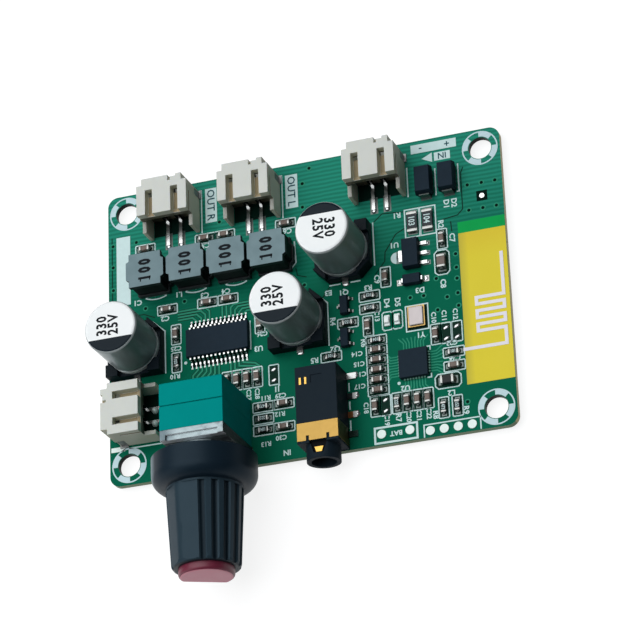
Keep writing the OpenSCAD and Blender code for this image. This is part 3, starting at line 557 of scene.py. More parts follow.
def knobPlastic():
    # dark plastic, with painted shade in the grooves and on the skirt, and painted light on the skirt's left side
    look = knobLook
    made = Finish("knobPlastic", look["grip"], 0.42, specular=0.16, mottle=0.08, mottleScale=300,
                  roughSpread=0.05, grain=0.25, grainScale=3800, grainDepth=0.012)
    made.drive("Specular Tint", look["gleam"])
    low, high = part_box("knob")
    middle = (low + high) / 2
    skirt = look["skirtLong"] * mm
    along = made.math("SUBTRACT", high.y, made.axis("Object", "Y"))
    across = [made.math("POWER", made.math("SUBTRACT", made.axis("Object", letter), value), 2.0)
              for letter, value in (("X", middle.x), ("Z", middle.z))]
    radius = made.math("SQRT", made.math("ADD", *across))
    taper = (look["rootRadius"] - look["tipRadius"]) * mm / ((high - low).y - skirt)
    root = look["rootRadius"] * mm + taper * skirt
    depth = made.math("SUBTRACT", made.math("SUBTRACT", root, made.math("MULTIPLY", along, taper)), radius)
    # painted shade in the grooves, deeper is darker
    made.over(look["grooveShade"], made.ramp(depth, *[value * mm for value in look["sunk"]]))
    onSkirt = made.math("LESS_THAN", along, skirt)
    # painted shade on the skirt
    made.over(look["skirt"], onSkirt)
    # painted light on the skirt's left side, which turns with the knob
    made.over(look["skirtLeftLight"], made.both(made.ramp(made.axis("Normal", "X"), *look["skirtLeftLightFrom"]), onSkirt))
    return made.material


capLook = {"side": (108, 34, 56), "front": (226, 138, 158)}


def capPlastic():
    # deep red sides, the flat front paler
    made = Finish("capPlastic", capLook["side"], 0.4, specular=0.4, mottle=0.06, mottleScale=420,
                  grain=0.3, grainScale=3800, grainDepth=0.012)
    made.over(capLook["front"], made.below("Normal", "Y", -0.88))
    return made.material


plainLooks = {
    # material, colour, roughness; then, where it isn't the usual one, metal, specular, mottle, its scale,
    # spread of the roughness, grain, its scale and its depth in mm
    "tin": ("tinned", (206, 208, 208), 0.24, 1.0, 0.5, 0.12, 1500, 0.1, 0.3, 2600, 0.012),
    # painted shade: a darker copy of the tin for the chips' ends and the small diode's pads
    "ends": ("tinnedEnds", (158, 160, 158), 0.34, 1.0, 0.5, 0.14, 1500),
    "bareTin": ("bareTin", (206, 220, 217), 0.42, 0.25, 0.5, 0.06, 900),
    # painted shade: a darker copy of the tin for pads and solder that lie in shade
    "dullTin": ("dullTin", (92, 101, 99), 0.34, 1.0, 0.5, 0.2, 1500),
    "toes": ("coatedToes", (92, 140, 126), 0.45, 0.2, 0.5, 0.1, 1500),
    "solder": ("solder", (196, 199, 200), 0.26, 1.0, 0.5, 0.12, 1500, 0.06, 0.3, 2200, 0.015),
    "tab": ("solderTab", (128, 130, 130), 0.4, 1.0, 0.5, 0.15, 1500),
    "aerial": ("aerialCoat", (230, 229, 238), 0.55, 0.0, 0.25, 0.05, 1500),
    "print": ("whitePrint", (202, 227, 228), 0.62, 0.0, 0.2, 0.07, 1600, 0.08, 0.35, 4200, 0.006),
    "ring": ("ringTin", (182, 206, 213), 0.5, 0.2, 0.2, 0.08, 900),
    "ink": ("darkInk", (16, 22, 28), 0.6, 0.0, 0.1, 0.25, 2500),
    "stripInk": ("stripInk", (30, 78, 88), 0.6, 0.0, 0.1, 0.2, 2500),
    "trace": ("coatedTrace", (38, 126, 100), 0.4, 0.2, 0.05, 0.12, 500),
    "gap": ("pourGap", (4, 42, 32), 0.4, 0.0, 0.05, 0.15, 500),
    "bareMask": ("bareMask", (0, 158, 76), 0.4, 0.0, 0.05, 0.12, 500),
    "hole": ("viaHole", (2, 26, 20), 0.7, 0.0, 0.04, 0.2),
    "resin": ("windingResin", (13, 17, 20), 0.6, 0.0, 0.2, 0.14, 1100, 0.08, 0.4, 5200, 0.012),
    "seat": ("seatPlastic", (7, 20, 28), 0.5, 0.0, 0.1, 0.14, 1100, 0.08, 0.4, 5200, 0.012),
    "chip": ("mouldedChip", (24, 39, 51), 0.55, 0.0, 0.08, 0.14, 1100, 0.08, 0.4, 5200, 0.012),
    "glaze": ("resistorGlaze", (20, 25, 29), 0.35, 0.0, 0.2, 0.14, 1100, 0.08, 0.2, 5200, 0.012),
    "largeGlaze": ("largeResistorGlaze", (40, 47, 53), 0.4, 0.0, 0.2, 0.14, 1100, 0.08, 0.2, 5200, 0.012),
    "ceramic": ("ceramic", (110, 96, 89), 0.4, 0.0, 0.3, 0.16, 1500, 0.08, 0.3, 5000, 0.01),
    "lid": ("crystalLid", (180, 173, 174), 0.4, 0.35, 0.5, 0.05, 900),
    "ledWhite": ("ledCarrier", (228, 238, 238), 0.5, 0.0, 0.5, 0.06, 1500),
    "ledLens": ("ledLens", (238, 246, 246), 0.3, 0.0, 0.5, 0.05, 1500),
    "teal": ("tealPhenolic", (0, 139, 136), 0.55, 0.0, 0.01, 0.06, 420, 0.08, 0.3, 3600, 0.012),
    "shaft": ("shaftMetal", (190, 194, 196), 0.3, 1.0, 0.5, 0.08),
    "rotor": ("rotorPlastic", (206, 200, 184), 0.5, 0.0, 0.5, 0.06),
}
finishes = {key: Finish(*look).material for key, look in plainLooks.items()}
finishes.update({
    "board": solderMask(), "laminate": laminate(), "nylon": socketNylon(), "ferrite": ferrite(),
    "gold": goldPlate(), "jack": jackPlastic(), "socketLeads": socketLeads(), "contacts": jackContacts(),
    "crystal": crystalBase(), "plate": castPlate(), "knob": knobPlastic(), "cap": capPlastic(),
})
for number in canLook["segments"]:
    finishes["can%d" % number] = canFinish(number)
print("finishes made:", len(finishes))


# shared mesh tools

layerFoot = -0.01       # mm, a layer on the board reaches this far into it


def keepPiece(name, mesh, material, slotName, body="board", smooth=None):
    mesh.materials.clear()
    mesh.materials.append(material)
    piece = newObject(name, mesh)
    if smooth is not None:
        mesh.shade_smooth()
        mesh.set_sharp_from_angle(angle=math.radians(smooth))
    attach(piece, body)
    return piece


def meshFrom(bm, name):
    mesh = bpy.data.meshes.new(name)
    bm.to_mesh(mesh)
    bm.free()
    return mesh


def keepDrawn(name, bm, finish, slotName="board"):
    keepPiece(name, meshFrom(bm, name), finishes[finish], slotName)


def evaluated(source, name):
    # a plain mesh of what an object's modifiers or text give; the object goes
    graph = bpy.context.evaluated_depsgraph_get()
    mesh = bpy.data.meshes.new_from_object(source.evaluated_get(graph))
    mesh.name = name
    bpy.data.objects.remove(source)
    return mesh


def softened(node, width, material, slotName, body="board", segments=2):
    # a copy of the CAD solid with its edges eased
    bm = mergedCopy(node)
    bmesh.ops.dissolve_limit(bm, angle_limit=math.radians(0.6), verts=bm.verts, edges=bm.edges)
    for face in bm.faces:
        face.smooth = True
    sharp = newObject(node + "_sharp", meshFrom(bm, node + "_sharp"))
    ease = sharp.modifiers.new("ease", "BEVEL")
    ease.width = width * mm
    ease.segments = segments
    ease.limit_method = "ANGLE"
    ease.angle_limit = math.radians(38)
    ease.use_clamp_overlap = True
    level = sharp.modifiers.new("level", "WEIGHTED_NORMAL")
    level.weight = 100
    piece = keepPiece(node + "_eased", evaluated(sharp, node + "_eased"), material, slotName, body)
    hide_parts(node)


def paint(material, *names):
    for name in names:
        slots = cadNodes[name].data.materials
        slots.clear()
        slots.append(material)


def ribbon(bm, points, width, height, closed=False):
    # flat strip along a path in the board's plane, in mm
    path = [Vector(p) for p in points]
    count = len(path)
    foot, top = layerFoot, layerFoot + height
    rings = []
    for i, here in enumerate(path):
        runs = []
        if i > 0 or closed:
            runs.append((here - path[i - 1]).normalized())
        if i < count - 1 or closed:
            runs.append((path[(i + 1) % count] - here).normalized())
        along = sum(runs, Vector((0, 0))).normalized()
        out = Vector((-along.y, along.x))
        cosine = out.dot(Vector((-runs[0].y, runs[0].x)))
        reach = width / 2 / max(0.4, cosine)
        left, right = here + out * reach, here - out * reach
        rings.append([bm.verts.new((p.x * mm, p.y * mm, z * mm + boardTop))
                      for p, z in ((left, foot), (right, foot), (right, top), (left, top))])
    for i in range(count if closed else count - 1):
        a, b = rings[i], rings[(i + 1) % count]
        for j in range(4):
            k = (j + 1) % 4
            bm.faces.new((a[j], b[j], b[k], a[k]))
    if not closed:
        bm.faces.new(rings[0])
        bm.faces.new(list(reversed(rings[-1])))


def slab(bm, points, height, bottom=layerFoot):
    # flat plate over an outline in the board's plane, in mm
    low = [bm.verts.new((x * mm, y * mm, bottom * mm + boardTop)) for x, y in points]
    high = [bm.verts.new((x * mm, y * mm, (bottom + height) * mm + boardTop)) for x, y in points]
    bm.faces.new(list(reversed(low)))
    bm.faces.new(high)
    for i in range(len(points)):
        j = (i + 1) % len(points)
        bm.faces.new((low[i], low[j], high[j], high[i]))


def boxPath(x0, y0, x1, y1):
    return [(x0, y0), (x1, y0), (x1, y1), (x0, y1)]


def heading(turn):
    return Vector((math.cos(math.radians(turn)), math.sin(math.radians(turn))))


def arcPath(x, y, r, start, end, steps):
    return [Vector((x, y)) + r * heading(start + (end - start) * i / steps) for i in range(steps + 1)]


def roundPath(x, y, r, count):
    return arcPath(x, y, r, 0, 360 - 360 / count, count - 1)


def lettering(bm, words, x, y, turn, height, base, thick=0.02, bold=0.012, spread=1.0, gap=1.0):
    # raised print, centred at a place in mm, capitals of the given height
    curve = bpy.data.curves.new("words", "FONT")
    curve.body = words
    curve.size = 1.0
    curve.offset = bold
    curve.space_character = gap
    curve.extrude = 0.5
    curve.resolution_u = 2
    mesh = evaluated(newObject("words", curve), "words")
    xs = [v.co.x for v in mesh.vertices]
    ys = [v.co.y for v in mesh.vertices]
    capital = 0.72                       # share of the font's size that a capital takes
    scale = height / capital
    middle = Vector(((min(xs) + max(xs)) / 2, (min(ys) + max(ys)) / 2, 0))
    mesh.transform(Matrix.Translation((x * mm, y * mm, boardTop + (base + thick / 2) * mm))
                   @ Matrix.Rotation(math.radians(turn), 4, "Z")
                   @ Matrix.Diagonal((scale * spread * mm, scale * mm, thick * mm, 1))
                   @ Matrix.Translation(-middle))
    bm.from_mesh(mesh)
    bpy.data.meshes.remove(mesh)


# repeated shapes, by Geometry Nodes

def pointCloud(name, places):
    # one vertex for each place: x, y, z in mm over the board, turn in degrees, size in mm
    mesh = bpy.data.meshes.new(name)
    mesh.from_pydata([(x * mm, y * mm, boardTop + z * mm) for x, y, z, turn, size in places], [], [])
    turns = mesh.attributes.new("turn", "FLOAT_VECTOR", "POINT")
    sizes = mesh.attributes.new("size", "FLOAT_VECTOR", "POINT")
    for i, (x, y, z, turn, size) in enumerate(places):
        turns.data[i].vector = (0, 0, math.radians(turn))
        sizes.data[i].vector = [s * mm for s in size]
    return mesh


def scatter(name, places, buildShape, inputs, finish, slotName, smooth=None):
    tree = bpy.data.node_groups.new(name + "Tree", "GeometryNodeTree")
    tree.interface.new_socket(name="Geometry", in_out="OUTPUT", socket_type="NodeSocketGeometry")
    tree.interface.new_socket(name="Geometry", in_out="INPUT", socket_type="NodeSocketGeometry")
    named = {}
    for key, value in inputs.items():
        kind = "NodeSocketInt" if isinstance(value, int) else "NodeSocketFloat"
        named[key] = tree.interface.new_socket(name=key, in_out="INPUT", socket_type=kind).identifier
    start = tree.nodes.new("NodeGroupInput")
    end = tree.nodes.new("NodeGroupOutput")
    shape = buildShape(tree, start)
    place = tree.nodes.new("GeometryNodeInstanceOnPoints")
    tree.links.new(start.outputs["Geometry"], place.inputs["Points"])
    tree.links.new(shape, place.inputs["Instance"])
    for attribute, socket in (("turn", "Rotation"), ("size", "Scale")):
        read = tree.nodes.new("GeometryNodeInputNamedAttribute")
        read.data_type = "FLOAT_VECTOR"
        read.inputs["Name"].default_value = attribute
        value = read.outputs["Attribute"]
        if socket == "Rotation":
            euler = tree.nodes.new("FunctionNodeEulerToRotation")
            tree.links.new(value, euler.inputs[0])
            value = euler.outputs[0]
        tree.links.new(value, place.inputs[socket])
    real = tree.nodes.new("GeometryNodeRealizeInstances")
    tree.links.new(place.outputs["Instances"], real.inputs["Geometry"])
    coat = tree.nodes.new("GeometryNodeSetMaterial")
    coat.inputs["Material"].default_value = finishes[finish]
    tree.links.new(real.outputs["Geometry"], coat.inputs["Geometry"])
    tree.links.new(coat.outputs["Geometry"], end.inputs["Geometry"])

    host = newObject(name + "Points", pointCloud(name + "Points", places))
    modifier = host.modifiers.new("repeat", "NODES")
    modifier.node_group = tree
    for key, value in inputs.items():
        modifier[named[key]] = value
    mesh = evaluated(host, name)
    for attribute in ("turn", "size"):
        if attribute in mesh.attributes:
            mesh.attributes.remove(mesh.attributes[attribute])
    keepPiece(name, mesh, finishes[finish], slotName, smooth=smooth)


def wired(tree, start, kind, links):
    # a node that takes the tree's named inputs
    node = tree.nodes.new(kind)
    for socket, key in links.items():
        tree.links.new(start.outputs[key], node.inputs[socket])
    return node


def blobShape(tree, start):
    # solder bead: a ball of size 1, half of it over the board
    ball = wired(tree, start, "GeometryNodeMeshUVSphere", {"Segments": "Segments", "Rings": "Rings"})
    ball.inputs["Radius"].default_value = 0.5
    return ball.outputs["Mesh"]


def padShape(tree, start):
    size = wired(tree, start, "ShaderNodeCombineXYZ", {letter: "Side" for letter in "XYZ"})
    plate = tree.nodes.new("GeometryNodeMeshCube")
    tree.links.new(size.outputs[0], plate.inputs["Size"])
    return plate.outputs["Mesh"]


def discShape(tree, start):
    disc = wired(tree, start, "GeometryNodeMeshCylinder", {"Vertices": "Corners"})
    disc.inputs["Radius"].default_value = 0.5
    disc.inputs["Depth"].default_value = 1.0
    return disc.outputs["Mesh"]


def frameShape(tree, start):
    # printed outline: a rounded rectangle with a flat line, in mm over 1
    kind = "GeometryNodeCurvePrimitiveQuadrilateral"
    outline = wired(tree, start, kind, {"Width": "Length", "Height": "Width"})
    corner = wired(tree, start, "GeometryNodeFilletCurve", {"Radius": "Corner"})
    corner.mode = "POLY"
    tree.links.new(outline.outputs["Curve"], corner.inputs["Curve"])
    line = wired(tree, start, kind, {"Width": "Line", "Height": "Height"})
    strip = tree.nodes.new("GeometryNodeCurveToMesh")
    tree.links.new(corner.outputs["Curve"], strip.inputs["Curve"])
    tree.links.new(line.outputs["Curve"], strip.inputs["Profile Curve"])
    return strip.outputs["Mesh"]


def makePads(name, places, finish, slotName="tin"):
    scatter(name, places, padShape, {"Side": 1.0}, finish, slotName)


def makeBeads(name, places, finish):
    scatter(name, places, blobShape, {"Segments": 12, "Rings": 6}, finish, "tin", smooth=60)


# board: copper-free field, tracks, gaps, shade, vias

fieldLook = {
    "left": 23.5, "right": 30.46, "front": -16.05, "rear": 7.15,   # bare laminate under the aerial
    "bandRear": 8.9,                                               # lacquer without copper behind it
    "thick": 0.022,
}


def makeField():
    f = fieldLook
    for name, front, rear, finish in (("laminateField", f["front"], f["rear"], "laminate"),
                                      ("copperFreeBand", f["rear"], f["bandRear"], "bareMask")):
        bm = bmesh.new()
        slab(bm, boxPath(f["left"], front, f["right"], rear), f["thick"])
        keepDrawn(name, bm, finish)


trackLook = {
    "wide": 0.27, "cleared": 0.46, "radioWide": 0.18, "gapWide": 0.16, "height": 0.02, "raised": 0.006,
    "pitch": 0.65, "step": 0.45, "frontStep": 0.25,                # amplifier's leads, and its fanned tracks
    "radioMiddle": (16.0, -11.65), "radioFirst": -1.47, "radioPitch": 0.42,
}
gapPaths = (
    # gaps in the copper, in mm
    [(24.8, 17.5), (24.4, 16.6), (24.4, 10.9), (23.6, 10.1), (21.4, 9.8)],
    [(15.7, 12.1), (12.3, 12.4), (11.0, 11.3)],
    [(15.6, 9.5), (14.2, 8.8), (12.5, 6.3), (12.4, 4.9), (10.9, 3.1)],
    [(22.5, 9.3), (22.6, 7.7)],
    [(-29.0, 3.2), (-24.9, 3.2), (-23.2, 2.4)],
    [(0.5, 4.6), (-0.9, 5.1), (-1.1, 6.3)],
    [(2.6, 0.6), (4.4, 3.0), (4.4, 11.8)],
    [(-29.9, 16.4), (-29.9, -8.6)],
)


def trackPaths():
    # tracks fanning out from both rows of the amplifier chip
    pitch = trackLook["pitch"]
    paths = []
    for i in range(4):
        step = trackLook["step"] * i
        x = -16.6 + pitch * i
        paths.append([(x, 0.0), (x, 0.6 + step), (x - 0.7, 1.3 + step), (-19.6, 1.3 + step)])
        x = -9.4 - pitch * i
        paths.append([(x, 0.0), (x, 0.5 + step), (x + 0.5, 1.0 + step), (-7.0, 1.05 + step)])
        x = -9.6 - pitch * i
        paths.append([(x, -6.3), (x, -7.0 - step), (-7.8, -7.4 - step), (-7.0, -8.1 - step)])
    for i in range(2):
        x = -12.0 - pitch * i
        paths.append([(x, 0.0), (x, 2.3)])
    for i in range(6):
        step = trackLook["frontStep"] * i
        x = -16.6 + pitch * i
        paths.append([(x, -6.3), (x, -7.0 - step), (x - 0.8, -7.8 - step), (x - 0.8, -10.0)])
    return paths


def radioPaths():
    # tracks from the four sides of the radio chip
    x, y = trackLook["radioMiddle"]
    paths = []
    for i in range(8):
        off = trackLook["radioFirst"] + trackLook["radioPitch"] * i
        paths.append([(13.6, y + off), (12.5, y + off), (11.9, y + off * 1.6)])
        paths.append([(18.4, y + off), (19.3, y + off), (20.2, y + off * 1.5)])
        paths.append([(x + off, -9.25), (x + off, -8.3), (x + off * 1.5, -7.5)])
        paths.append([(x + off, -14.05), (x + off, -15.0), (x + off * 1.4, -15.6)])
    return paths


def makeTracks():
    t = trackLook
    for name, paths, wide, high, finish in (
        ("trackGaps", trackPaths(), t["cleared"], t["height"], "gap"),
        ("coatedTracks", trackPaths(), t["wide"], t["height"] + t["raised"], "trace"),
        ("radioTracks", radioPaths(), t["radioWide"], t["height"] + t["raised"], "trace"),
        ("pourGaps", gapPaths, t["gapWide"], t["height"], "gap"),
    ):
        bm = bmesh.new()
        for path in paths:
            ribbon(bm, path, wide, high)
        keepDrawn(name, bm, finish)


sockets = ("speaker_right_housing", "speaker_left_housing", "power_housing", "side_housing")
shadeLook = {
    "leg": 0.65, "reach": 3.2, "lip": 0.4, "socketThick": 0.012,        # under each socket's roof, mm
    "past": 0.3, "aside": 0.1, "leadThick": 0.03,                       # round the amplifier's leads
}


def makeShade():
    # painted shade on the board under the sockets and between the amplifier's leads
    s = shadeLook
    bm = bmesh.new()
    for node in sockets:
        low, high = (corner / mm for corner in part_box(node))
        if node == "side_housing":
            box = (high.x - s["reach"], low.y + s["leg"], high.x - s["lip"], high.y - s["leg"])
        else:
            box = (low.x + s["leg"], low.y + s["lip"], high.x - s["leg"], low.y + s["reach"])
        slab(bm, boxPath(*box), s["socketThick"])
    body, leads = ([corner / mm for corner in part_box(node)] for node in ("amplifier_body", "amplifier_leads"))
    for start, end in ((leads[0].y - s["past"], body[0].y), (body[1].y, leads[1].y + s["past"])):
        slab(bm, boxPath(leads[0].x - s["aside"], start, leads[1].x + s["aside"], end), s["leadThick"])
    keepDrawn("paintedShadeField", bm, "hole")


viaLook = {"ring": 0.85, "ringAt": 0.005, "hole": 0.5, "holeAt": 0.012, "thick": 0.04}
viaPlaces = (
    [(x, y) for x in (25.3, 27.4, 29.4) for y in (14.5, 10.5)]
    + [(22.95, y) for y in (4.1, 2.0, 0.3, -1.95, -3.9)]
    + [(-29.75, y) for y in (15.05, 11.6, 7.9, 4.0)]
    + [(-26.0, 15.05), (-12.75, 15.9), (0.35, 19.6), (0.25, 15.8), (-24.65, 4.1), (-18.5, 4.15), (0.1, 3.4),
       (1.5, 21.9), (19.9, 0.8), (17.9, -1.5), (15.9, -1.45), (21.35, -2.3), (19.85, -4.05), (23.4, -18.6)]
)


def makeVias():
    v = viaLook
    for name, part, corners, finish in (("viaRings", "ring", 16, "trace"), ("viaHoles", "hole", 12, "hole")):
        places = [(x, y, v[part + "At"], 0, (v[part], v[part], v["thick"])) for x, y in viaPlaces]
        scatter(name, places, discShape, {"Corners": corners}, finish, "board")


makeField()
makeTracks()
makeShade()
makeVias()
print("board field, tracks and vias made")


# white print

printLook = {
    "line": 0.19, "boldLine": 0.3, "height": 0.03,
    "small": 0.82, "long": 0.87,              # height of a designator's capitals, and share for a long one
    "wordBold": 0.03, "stripThick": 0.015,
    # tin round the screw holes
    "holeInset": 3.0, "ringIn": 1.8, "ringOut": 2.58, "ringLine": 0.2, "ringStart": 43, "ringSweep": 49,
    "dot": 0.12,                              # radius of a first pin's mark
}


def holeRings(bm, high):
    p = printLook
    low, top = (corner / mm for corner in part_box("pcb"))
    inset = p["holeInset"]
    wide = p["ringOut"] - p["ringLine"] / 2 - p["ringIn"]
    middle = p["ringIn"] + wide / 2
    for x in (low.x + inset, top.x - inset):
        for y in (low.y + inset, top.y - inset):
            ribbon(bm, roundPath(x, y, p["ringOut"], 48), p["ringLine"], high, closed=True)
            for i in range(4):
                start = p["ringStart"] + 90 * i
                ribbon(bm, arcPath(x, y, middle, start, start + p["ringSweep"], 10), wide, high)


def printLines(bm, high):
    line, dot = printLook["line"], printLook["dot"]
    for box in (
        (-29.2, 5.2, -27.0, 16.3),                                             # bare name strip
        (-14.9, 16.1, -13.1, 21.65), (-2.3, 16.0, -0.4, 21.4),                 # socket label strips
        (17.15, 21.0, 24.0, 22.4), (20.6, 19.3, 23.0, 20.6),
    ):
        slab(bm, boxPath(*box), high)
    slab(bm, [(20.3, 19.2), (20.3, 20.7), (18.7, 19.95)], high)                # pointer to the power socket
    for box, wide in (
        ((15.1, -6.6, 18.4, -2.75), line), ((15.7, 7.9, 17.85, 12.3), line), ((18.0, 7.9, 20.3, 12.3), line),
        ((9.7, -22.7, 15.9, -20.4), printLook["boldLine"]),
    ):
        ribbon(bm, boxPath(*box), wide, high, closed=True)
    for path in (
        [(16.9, -22.9), (16.9, -21.05), (25.1, -21.05), (25.1, -22.9)],        # open pad box
        [(-23.6, 1.8), (-21.65, 0.0), (-21.65, -6.7)],                         # beside the capacitors
        [(1.5, 1.9), (3.5, 0.0), (3.5, -6.7)],
        [(10.85, 11.3), (10.85, 4.5)], [(8.6, 2.55), (7.1, 2.55)], [(5.6, 2.55), (3.9, 2.55)],
        [(-15.5, 21.6), (-15.5, 14.6)], [(-2.8, 21.6), (-2.8, 14.6)],          # beside the sockets
        [(16.4, 19.0), (16.4, 14.3)], [(-27.5, -17.4), (-22.4, -17.4)],
        [(24.05, 18.2), (24.05, 13.8), (23.7, 13.8)], [(20.6, 18.1), (20.6, 13.8)],     # and the power diodes
        [(-1.2, 10.6), (-1.05, 7.2), (-1.8, 6.3)],                             # last inductor
        [(-8.4, -0.7), (-8.4, -5.2)],                                          # amplifier's right end
        [(6.2, -12.9), (6.2, -14.2)], [(6.2, -15.7), (6.2, -17.0)], [(6.2, -18.6), (6.2, -20.4)],
    ):
        ribbon(bm, path, line, high)
    for x in (-22.95, -16.65, -10.35, -4.05):                                  # front of each inductor
        ribbon(bm, arcPath(x, 9.2, 3.9, 245, 295, 8), line, high)
    ribbon(bm, arcPath(14.2, 5.05, 0.45, 90, 270, 10), 0.9, high)              # regulator's tab mark
    for x, y in ((-18.5, -5.6), (13.6, -14.2)):                                # first pins
        ribbon(bm, roundPath(x, y, dot, 8), dot * 2, high, closed=True)
    for y, way in ((-9.3, -0.6), (-14.0, 0.6)):                                # radio chip's corners
        ribbon(bm, [(17.8, y), (18.4, y), (18.4, y + way)], line, high)


designators = (
    # words, place and turn, in mm and degrees
    ("C1", -25.8, 5.2, 180), ("C2", -21.6, 1.95, 180), ("C3", -15.3, 4.55, 180), ("C4", -12.0, 4.6, 180),
    ("L1", -19.3, 5.4, 180), ("C5", -15.0, 12.5, 180), ("C6", -2.2, 12.4, 180), ("R1", 14.6, 11.7, 180),
    ("D1", 22.05, 12.2, 270), ("D2", 23.2, 12.1, 270), ("R2", 21.05, 9.1, 270), ("C7", 22.6, 6.7, 270),
    ("U1", 14.0, 7.1, 180), ("C8", 20.9, -0.15, 270), ("C9", 11.1, 2.3, 270), ("R3", 9.7, 1.2, 180),
    ("D3", 17.4, -0.55, 180), ("E3", 3.7, 1.45, 180), ("Q1", 6.1, 1.2, 180), ("D4", 12.4, -1.7, 270),
    ("D5", 14.0, -1.8, 270), ("R4", 4.2, -3.1, 270), ("C10", 19.2, -5.1, 270), ("C11", 20.75, -5.0, 270),
    ("C12", 22.4, -5.1, 270), ("C13", 10.85, -3.4, 270), ("Q2", 4.4, -7.3, 180), ("R5", 1.2, -8.6, 180),
    ("R6", 8.7, -7.2, 270), ("C14", 7.6, -8.7, 180), ("C15", 7.85, -10.3, 180), ("C16", 8.0, -11.9, 180),
    ("C17", 7.8, -13.7, 180), ("C18", 8.6, -17.1, 270), ("C19", 11.6, -19.4, 270), ("R7", 13.3, -19.35, 270),
    ("C20", 14.8, -19.4, 270), ("C21", 16.3, -19.4, 270), ("C22", 17.75, -19.4, 270), ("R8", 18.75, -19.8, 270),
    ("R9", 23.15, -19.8, 270), ("U2", 14.5, -15.1, 180), ("Y1", 17.3, -7.4, 180), ("L2", 21.15, -16.9, 180),
    ("C23", 21.65, -9.4, 180), ("C24", 21.95, -11.8, 180), ("C25", -19.95, -3.1, 180), ("R10", -20.2, -7.45, 180),
    ("C26", -6.6, -3.1, 180), ("U3", -7.2, -5.3, 180), ("C27", -8.9, -12.2, 270), ("C28", -7.6, -12.2, 270),
    ("R11", -6.3, -13.1, 180), ("C29", -4.1, -13.1, 180), ("R12", -4.3, -15.9, 180), ("R13", -6.5, -20.1, 180),
    ("C30", -4.2, -19.5, 180), ("J1", -4.5, -11.9, 180), ("IN", -3.4, -21.9, 180), ("BAT", 12.8, -21.55, 180),
)
stripMarks = (
    # words, place and turn, height of the capitals
    ("OUT R", -14.0, 18.9, 270, 1.2), ("OUT L", -1.35, 18.7, 270, 1.2), ("IN", 21.8, 19.95, 180, 0.95),
    ("+", 22.6, 21.7, 180, 1.1), ("-", 18.6, 21.7, 180, 1.1),
)


def makePrint():
    p = printLook
    high = p["height"]
    for name, draw, finish in (("holeRings", holeRings, "ring"), ("whitePrintLines", printLines, "print")):
        bm = bmesh.new()
        draw(bm, high)
        keepDrawn(name, bm, finish)
    bm = bmesh.new()
    for words, x, y, turn in designators:
        size = p["small"] * (1.0 if len(words) < 3 else p["long"])
        lettering(bm, words, x, y, turn, size, 0.0, high, p["wordBold"])
    keepDrawn("whitePrintWords", bm, "print")
    bm = bmesh.new()
    for mark in stripMarks:
        lettering(bm, *mark, high, p["stripThick"])
    keepDrawn("stripMarks", bm, "stripInk")


fiducialLook = {"x": 27.35, "y": 12.45, "half": 0.8, "thick": 0.025, "dot": (0.75, 0.75, 0.04), "dotAt": 0.02}


def makeFiducial():
    # alignment mark: a bare dot in a dark field
    f = fiducialLook
    x, y, half = f["x"], f["y"], f["half"]
    bm = bmesh.new()
    slab(bm, boxPath(x - half, y - half, x + half, y + half), f["thick"])
    keepDrawn("fiducialField", bm, "hole")
    scatter("fiducialDot", [(x, y, f["dotAt"], 0, f["dot"])], discShape, {"Corners": 24}, "tin", "tin")


makePrint()
makeFiducial()
print("print made")


# chip outlines, pads and solder

chipLook = {
    "line": 0.2, "height": 0.03,
    # length, width and corner of a printed outline
    "small": (3.1, 1.5, 0.12), "light": (2.8, 1.5, 0.25), "wide": (3.8, 2.2, 0.45),
    "wideFrom": 1.0,                          # chips at least this wide have the wide outline
    # dark board inside an outline, and under the crystal: bare laminate under the lacquer, with painted shade of
    # the chips
    "smallClear": (2.8, 1.25, 0.02), "wideClear": (3.5, 1.9, 0.02),
    "crystalClear": (16.75, -4.68, 0.0, 90, (3.6, 3.1, 0.02)),
    # length, share of the chip's width, height or share of the chip's; and how far past its end
    "pad": (0.8, 0.95, 0.05), "padPast": 0.42,
    "bead": (0.6, 0.9, 0.9), "beadPast": 0.34, "beadAt": 0.02,
    # solder on pads without a chip: size, turn and distance from the middle
    "empty": (1.05, 0.6, 0.34), "emptyTurn": 28, "emptyApart": 0.82,
}
emptyPlaces = [(-5.0, -9.75), (11.5, -17.15), (20.9, -7.75), (22.5, -7.75)]


def chipPlaces(*names):
    # middle, turn, length, width and height of every small two-ended chip
    found = []
    for name in names:
        for low, high in solidBoxes(name):
            size = (high - low) / mm
            middle = (low + high) / 2 / mm
            turn = 90 if size.y > size.x else 0
            found.append((middle.x, middle.y, turn, max(size.x, size.y), min(size.x, size.y), size.z))
    return found


def outlines(name, places, shape):
    c = chipLook
    length, width, corner = shape
    scatter(name, [(x, y, c["height"] / 2, turn, (1, 1, 1)) for x, y, turn in places], frameShape,
            {"Length": length, "Width": width, "Corner": corner, "Line": c["line"], "Height": c["height"]},
            "print", "board")


